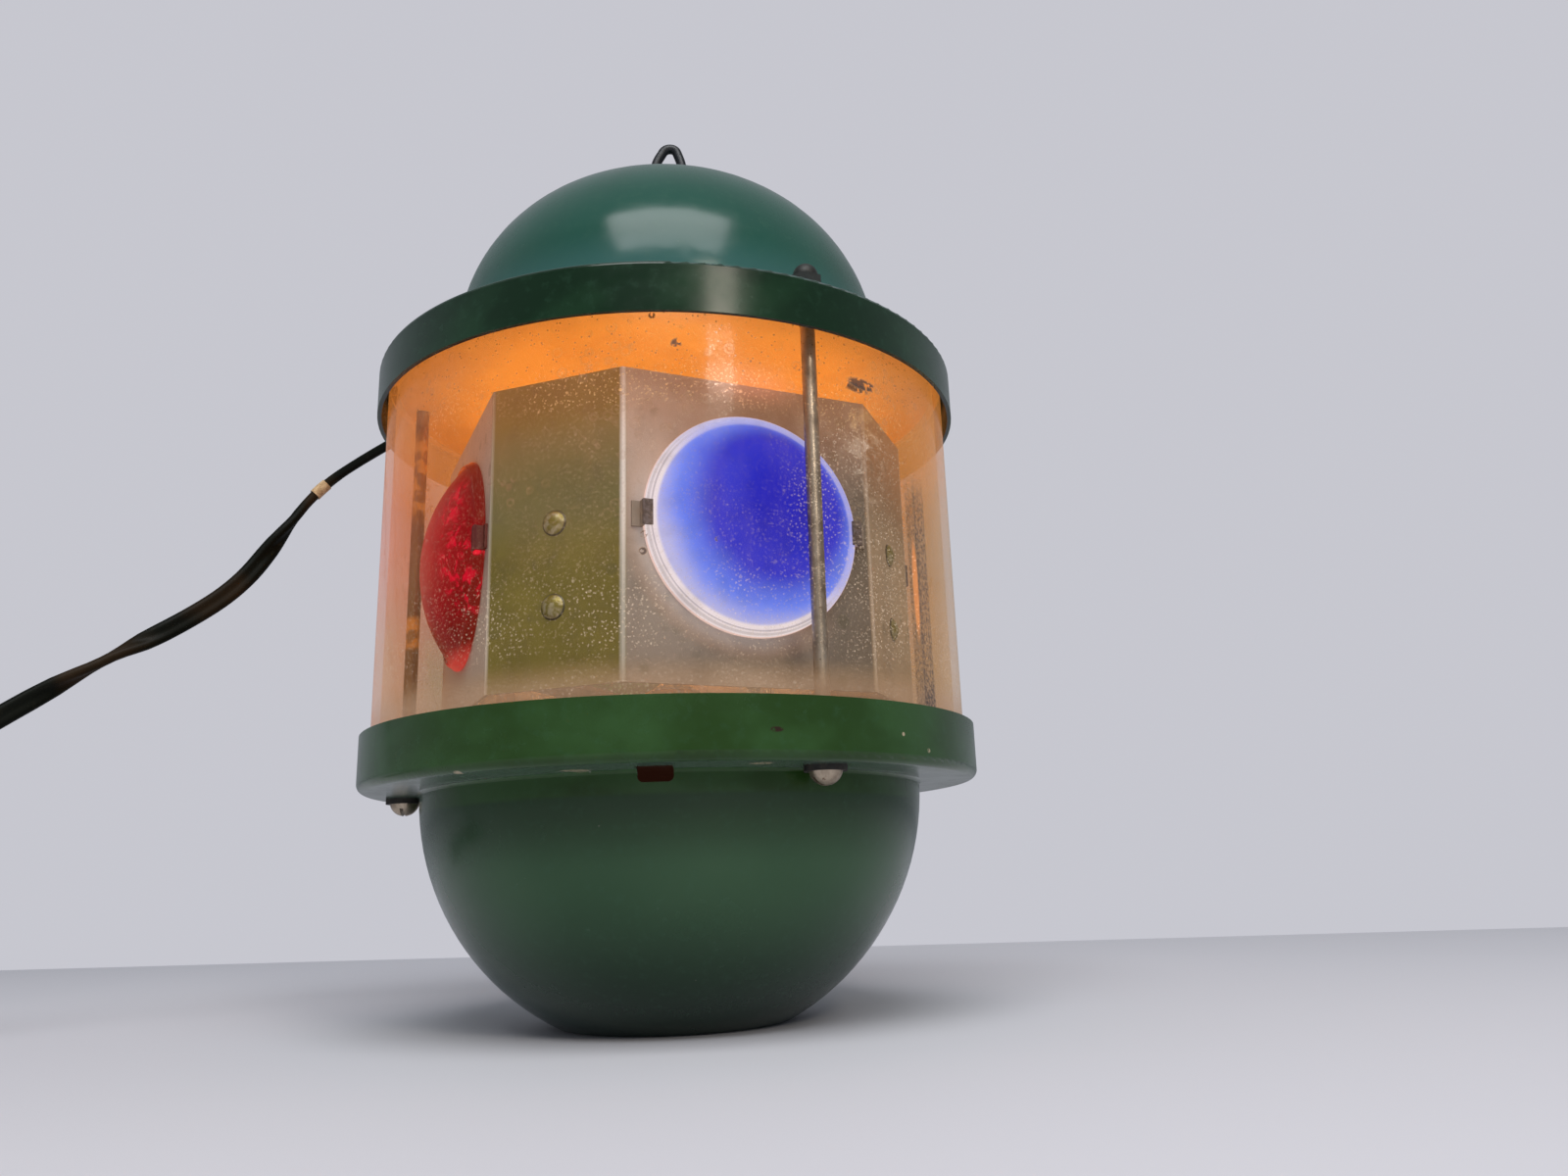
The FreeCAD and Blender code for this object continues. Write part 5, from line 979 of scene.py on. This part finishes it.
def coil_tie():
    """A paper strip tied round all turns of the coil, on the side away from the plug."""
    half_width = 0.0016
    middle, half = (COIL_INNER + COIL_OUTER) / 2.0, (COIL_OUTER - COIL_INNER) / 2.0
    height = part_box("cord_coil")[1].z / 2.0
    mesh = bmesh.new()
    bmesh.ops.create_circle(mesh, cap_ends=False, radius=1.0, segments=40)
    for vert in mesh.verts:
        x, z = vert.co.x, vert.co.y
        power = max(abs(x) ** 6 + abs(z) ** 6, 1e-9) ** (-1.0 / 6.0)
        vert.co = Vector((x * power * half, half_width, z * power * (height - 0.0006)))
    made = bmesh.ops.extrude_edge_only(mesh, edges=mesh.edges[:])["geom"]
    for vert in (item for item in made if isinstance(item, bmesh.types.BMVert)):
        vert.co.y = -half_width
    bmesh.ops.recalc_face_normals(mesh, faces=mesh.faces)
    bmesh.ops.solidify(mesh, geom=mesh.faces[:], thickness=-0.0004)
    bmesh.ops.translate(mesh, verts=mesh.verts, vec=(COIL.x - middle, COIL.y, height))
    paper = moulded("tie_paper", (0.03, 0.03, 0.032), (0.07, 0.07, 0.07), 0.6)
    return finished("coil_tie", mesh, paper)


class LAMP_OT_plug(bpy.types.Operator):
    """Moulds the plug with its ribbed sleeve and grip"""

    bl_idname = "lamp.plug"
    bl_label = "Plug"

    def execute(self, context):
        low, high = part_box("plug_body")
        size, axis = high - low, (low + high) / 2.0
        body_length = 0.030
        start = high.x - body_length
        mesh = bmesh.new()
        bmesh.ops.create_cube(mesh, size=1.0)
        bmesh.ops.scale(mesh, verts=mesh.verts, vec=(body_length, size.y, size.z))
        rounding = {"offset": 0.0022, "segments": 3, "profile": 0.5, "affect": "EDGES", "material": -1}
        bmesh.ops.bevel(mesh, geom=mesh.edges[:], **rounding)
        bmesh.ops.translate(mesh, verts=mesh.verts, vec=((high.x + start) / 2.0, axis.y, axis.z))
        for share in (0.28, 0.42, 0.56):
            for side in (-1.0, 1.0):
                rib = bmesh.ops.create_cube(mesh, size=1.0)["verts"]
                bmesh.ops.scale(mesh, verts=rib, vec=(0.0014, 0.0012, size.z * 0.62))
                spot = (start + body_length * share, axis.y + side * (size.y / 2.0 - 0.0004), axis.z)
                bmesh.ops.translate(mesh, verts=rib, vec=spot)
        # The sleeve: ribs with grooves between them, wider towards the body.
        ribs = 7
        reach = start - low.x
        pitch = reach / ribs
        profile = [(0.0, 0.0)]
        for rib in range(ribs):
            here, radius = pitch * rib, 0.0037 + 0.0024 * rib / ribs
            groove = radius - 0.0006
            profile += [(radius, here), (radius, here + pitch * 0.62)]
            profile += [(groove, here + pitch * 0.68), (groove, here + pitch * 0.95)]
        sleeve = spun([*profile, (0.0062, reach + 0.001), (0.0, reach + 0.001)], 32)
        lying = Matrix.Rotation(math.pi / 2.0, 3, "Y")
        bmesh.ops.rotate(sleeve, verts=sleeve.verts, cent=(0, 0, 0), matrix=lying)
        bmesh.ops.translate(sleeve, verts=sleeve.verts, vec=(low.x, axis.y, axis.z))
        data = bpy.data.meshes.new("sleeve")
        sleeve.to_mesh(data)
        sleeve.free()
        mesh.from_mesh(data)
        bpy.data.meshes.remove(data)
        black = moulded("plug_bakelite", (0.014, 0.012, 0.011), (0.03, 0.025, 0.02), 0.35)
        plug = finished("plug_moulding", mesh, black)
        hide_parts("plug_body")
        return {"FINISHED"}


class LAMP_OT_lenses(bpy.types.Operator):
    """Turns the four domed lenses with their stepped rims"""

    bl_idname = "lamp.lenses"
    bl_label = "Lenses"

    def execute(self, context):
        sizes = settings().sizes
        rim, dome, bulge = sizes.lens_radius, sizes.lens_dome, sizes.lens_bulge
        ball = lens_ball(sizes)
        centre = (0.0, bulge - ball)
        start = math.degrees(math.acos(dome / ball))
        mouth = math.degrees(math.asin((ball - bulge) / (ball - LENS_WALL)))
        step = [
            (dome + 0.0004, 0.0020),
            (dome + 0.0007, 0.0024),
            (dome + 0.0010, 0.0023),
            (rim - 0.0003, 0.0011),
            (rim, 0.0008),
            (rim, 0.0002),
            (rim - 0.0002, 0.0),
        ]
        top = [(0.0, bulge), *arc(centre, ball, 90.0, start, 16)[1:]]
        under = [*arc(centre, ball - LENS_WALL, mouth, 90.0, 14)[:-1], (0.0, bulge - LENS_WALL)]
        for colour, (shades, strength, streaks) in LENS_SHADES.items():
            bearing = LENS_BEARINGS[colour]
            middle = lens_middle(colour)
            mesh = spun([*top, *step, *under], 96)
            bmesh.ops.transform(mesh, matrix=facing_out(bearing, middle), verts=mesh.verts)
            finish = lit_lens(f"{colour}_lens_glass", bearing, middle, sizes, shades, strength, streaks)
            lens = finished(f"domed_lens_{colour}", mesh, finish, body="drum", smooth=40.0)
            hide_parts(f"lens_{colour}")
        return {"FINISHED"}


class LAMP_OT_housing(bpy.types.Operator):
    """Finishes the pressings, the tube, the plates and the hardware"""

    bl_idname = "lamp.housing"
    bl_label = "Housing"

    def execute(self, context):
        colours = settings().colours
        paint_nodes(enamel(colours), "top_cap", "bottom_bowl")
        paint_nodes(clear_plastic(colours), "clear_tube")
        paint_nodes(glowing_plate(colours), "reflector_plate")
        zinc = worn_metal("dull_zinc", (0.50, 0.50, 0.48), (0.36, 0.36, 0.35), 0.42, rust=0.1)
        paint_nodes(zinc, "nut_washers", "motor_case", "motor_screws", "motor_nuts", "spindle_nut")
        # A little of the bulb's light leaks onto the base plate.
        leak = {"Emission_Color": (0.06, 0.018, 0.010), "Emission_Strength": 0.22}
        plate = moulded("dull_plate", (0.16, 0.13, 0.10), (0.11, 0.09, 0.07), 0.7, 0.006, **leak)
        paint_nodes(plate, "base_plate")
        paint_nodes(tie_bolt_metal(), "tie_bolts")
        black = worn_metal("black_wire", (0.012, 0.015, 0.018), (0.006, 0.008, 0.010), 0.3, metallic=0.2)
        paint_nodes(black, "hanging_loop")
        dark = (0.040, 0.045, 0.042), (0.022, 0.020, 0.017)
        paint_nodes(worn_metal("dark_nut_metal", *dark, 0.40, rust=0.4, metallic=0.5), "cap_nuts")
        fibre = moulded("black_fibre", (0.012, 0.011, 0.010), (0.035, 0.028, 0.022), 0.7, 0.002)
        paint_nodes(fibre, "fibre_washers", "thrust_washer", "lead_ties")
        vinyl = moulded("relief_vinyl", (0.02, 0.017, 0.015), (0.035, 0.028, 0.024), 0.45)
        paint_nodes(vinyl, "strain_relief", "cord_tail")
        return {"FINISHED"}


class LAMP_OT_drum(bpy.types.Operator):
    """Finishes the drum, its carrier, its bearing and its gears"""

    bl_idname = "lamp.drum"
    bl_label = "Drum"

    def execute(self, context):
        colours = settings().colours
        paint_nodes(drum_metal(colours), "drum_shell")
        paint_nodes(clip_metal(colours), "lens_clips")
        paint_nodes(rivet_metal(colours), "drum_rivets")
        zinc = worn_metal("carrier_zinc", (0.42, 0.36, 0.29), (0.28, 0.24, 0.20), 0.5, rust=0.1, metallic=0.5)
        paint_nodes(zinc, "drum_carrier", "hub_screws")
        steel = worn_metal("turned_steel", (0.60, 0.60, 0.58), (0.42, 0.42, 0.41), 0.25, (1.0, 1.0, 0.1))
        paint_nodes(steel, "drum_spindle", "hub_clip", "motor_shaft")
        brass = worn_metal("turned_brass", (0.66, 0.46, 0.17), (0.46, 0.30, 0.11), 0.28)
        paint_nodes(brass, "drum_hub", "motor_pinion", "lampholder_shell", "lampholder_contact")
        paint_nodes(brass, "bulb_cap", "terminal_screws", "plug_pins")
        paint_nodes(moulded("gear_fibre_brown", (0.28, 0.13, 0.055), (0.20, 0.09, 0.04), 0.5, 0.002), "drum_gear")
        return {"FINISHED"}


class LAMP_OT_light_source(bpy.types.Operator):
    """Finishes the bulb, its holder and the wiring, and lights the bulb"""

    bl_idname = "lamp.light_source"
    bl_label = "Bulb and wiring"

    def execute(self, context):
        paint_nodes(clear_glass("bulb_clear_glass", (0.95, 0.9, 0.8), 0.10, 0.6), "bulb_glass")
        paint_nodes(clear_glass("stem_glass", (0.9, 0.9, 0.85), 0.25, 0.5), "bulb_stem")
        paint_nodes(hot_wire(), "bulb_filament")
        glaze = {"Coat_Weight": 0.6, "Coat_Roughness": 0.06}
        porcelain = moulded("porcelain_glaze", (0.80, 0.77, 0.70), (0.72, 0.69, 0.62), 0.2, 0.01, **glaze)
        paint_nodes(porcelain, "lampholder_body")
        bakelite = moulded("holder_bakelite", (0.02, 0.014, 0.011), (0.05, 0.03, 0.02), 0.3)
        paint_nodes(bakelite, "lampholder_ring", "terminal_block")
        paint_nodes(moulded("white_lead", (0.70, 0.67, 0.58), (0.60, 0.56, 0.47), 0.45), "lamp_leads")
        paint_nodes(moulded("red_lead", (0.36, 0.03, 0.02), (0.28, 0.02, 0.015), 0.45), "motor_lead")
        low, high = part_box("bulb_glass")
        data = bpy.data.lights.new("bulb_light", "POINT")
        data.energy = 0.06
        data.color = (1.0, 0.56, 0.22)
        data.shadow_soft_size = 0.012
        light = bpy.data.objects.new("bulb_light", data)
        light.location = (low + high) / 2.0
        context.scene.collection.objects.link(light)
        return {"FINISHED"}


def soft_lamp(name, place, size, power, colour):
    """A soft rectangular studio lamp that looks at the lamp's middle."""
    target = Vector((0.0, 0.0, 0.12))
    data = bpy.data.lights.new(name, "AREA")
    data.shape = "RECTANGLE"
    data.size, data.size_y = size
    data.energy = power
    data.color = colour
    lamp = bpy.data.objects.new(name, data)
    turn = (target - Vector(place)).to_track_quat("-Z", "Y").to_matrix().to_4x4()
    lamp.matrix_world = Matrix.Translation(place) @ turn
    bpy.context.scene.collection.objects.link(lamp)


class LAMP_OT_stage(bpy.types.Operator):
    """Lays the floor and sets the lights"""

    bl_idname = "lamp.stage"
    bl_label = "Studio"

    def execute(self, context):
        scene = context.scene
        scene.view_settings.view_transform = "Standard"
        mesh = bmesh.new()
        bmesh.ops.create_grid(mesh, x_segments=1, y_segments=1, size=6.0)
        bmesh.ops.translate(mesh, verts=mesh.verts, vec=(0.0, 0.0, -0.0001))
        data = bpy.data.meshes.new("floor")
        mesh.to_mesh(data)
        mesh.free()
        floor = bpy.data.objects.new("floor", data)
        scene.collection.objects.link(floor)
        paper = Finish("pale_floor", Roughness=0.6, Specular_IOR_Level=0.3)
        paper.set(Base_Color=paper.mix(paper.noise(0.3), (0.66, 0.655, 0.70), (0.70, 0.69, 0.73)))
        # Past the floor's far edge, and far from the lamp, a camera ray sees the plain backdrop.
        glow = paper.add("Emission", {"Color": BACKDROP, "Strength": 1.0})
        x, y, _ = paper.axes()
        past = paper.along(FLOOR_EDGE_WAY, FLOOR_EDGE).ramp(0.0, 0.002) | paper.length(x, y).fade(0.75, 1.50)
        seen = past * paper.add("LightPath", output="Is Camera Ray")
        paper.feed(paper.end.inputs["Surface"], paper.add("MixShader", {0: seen, 1: paper.surface, 2: glow}))
        data.materials.append(paper.material)

        scene.world = bpy.data.worlds.new("studio")
        sky = Nodes(scene.world)
        room = sky.add("Background", {"Color": (0.80, 0.84, 0.92), "Strength": 0.32})
        wall = sky.add("Background", {"Color": BACKDROP, "Strength": 1.0})
        seen = sky.add("LightPath", output="Is Camera Ray")
        sky.node("OutputWorld", {"Surface": sky.add("MixShader", {0: seen, 1: room, 2: wall})})

        soft_lamp("overhead_lamp", (0.0, -0.70, 1.05), (0.92, 0.60), 12.0, (0.97, 0.98, 1.0))
        soft_lamp("window_lamp", (0.23, -0.70, 0.475), (0.13, 0.14), 0.95, (1.0, 0.90, 0.76))
        return {"FINISHED"}


STEPS = (
    LAMP_OT_camera,
    LAMP_OT_plug,
    LAMP_OT_flex,
    LAMP_OT_lenses,
    LAMP_OT_housing,
    LAMP_OT_drum,
    LAMP_OT_light_source,
    LAMP_OT_stage,
)


class LAMP_PT_panel(bpy.types.Panel):
    """Lists the lamp's steps and settings in the sidebar"""

    bl_idname = "LAMP_PT_panel"
    bl_label = "Motion lamp"
    bl_space_type = "VIEW_3D"
    bl_region_type = "UI"
    bl_category = "Motion lamp"

    def draw(self, context):
        layout = self.layout
        for step in STEPS:
            layout.operator(step.bl_idname)
        lamp = context.scene.motion_lamp
        for group in (lamp.sizes, lamp.colours):
            box = layout.box()
            for name in group.__annotations__:
                box.prop(group, name)


CLASSES = (LampColours, LampSizes, MotionLamp, *STEPS, LAMP_PT_panel)


def register():
    for item in CLASSES:
        bpy.utils.register_class(item)
    bpy.types.Scene.motion_lamp = bpy.props.PointerProperty(type=MotionLamp)


def unregister():
    del bpy.types.Scene.motion_lamp
    for item in reversed(CLASSES):
        bpy.utils.unregister_class(item)


def main():
    register()
    for step in STEPS:
        group, name = step.bl_idname.split(".")
        getattr(getattr(bpy.ops, group), name)()


if __name__ == "__main__":
    main()
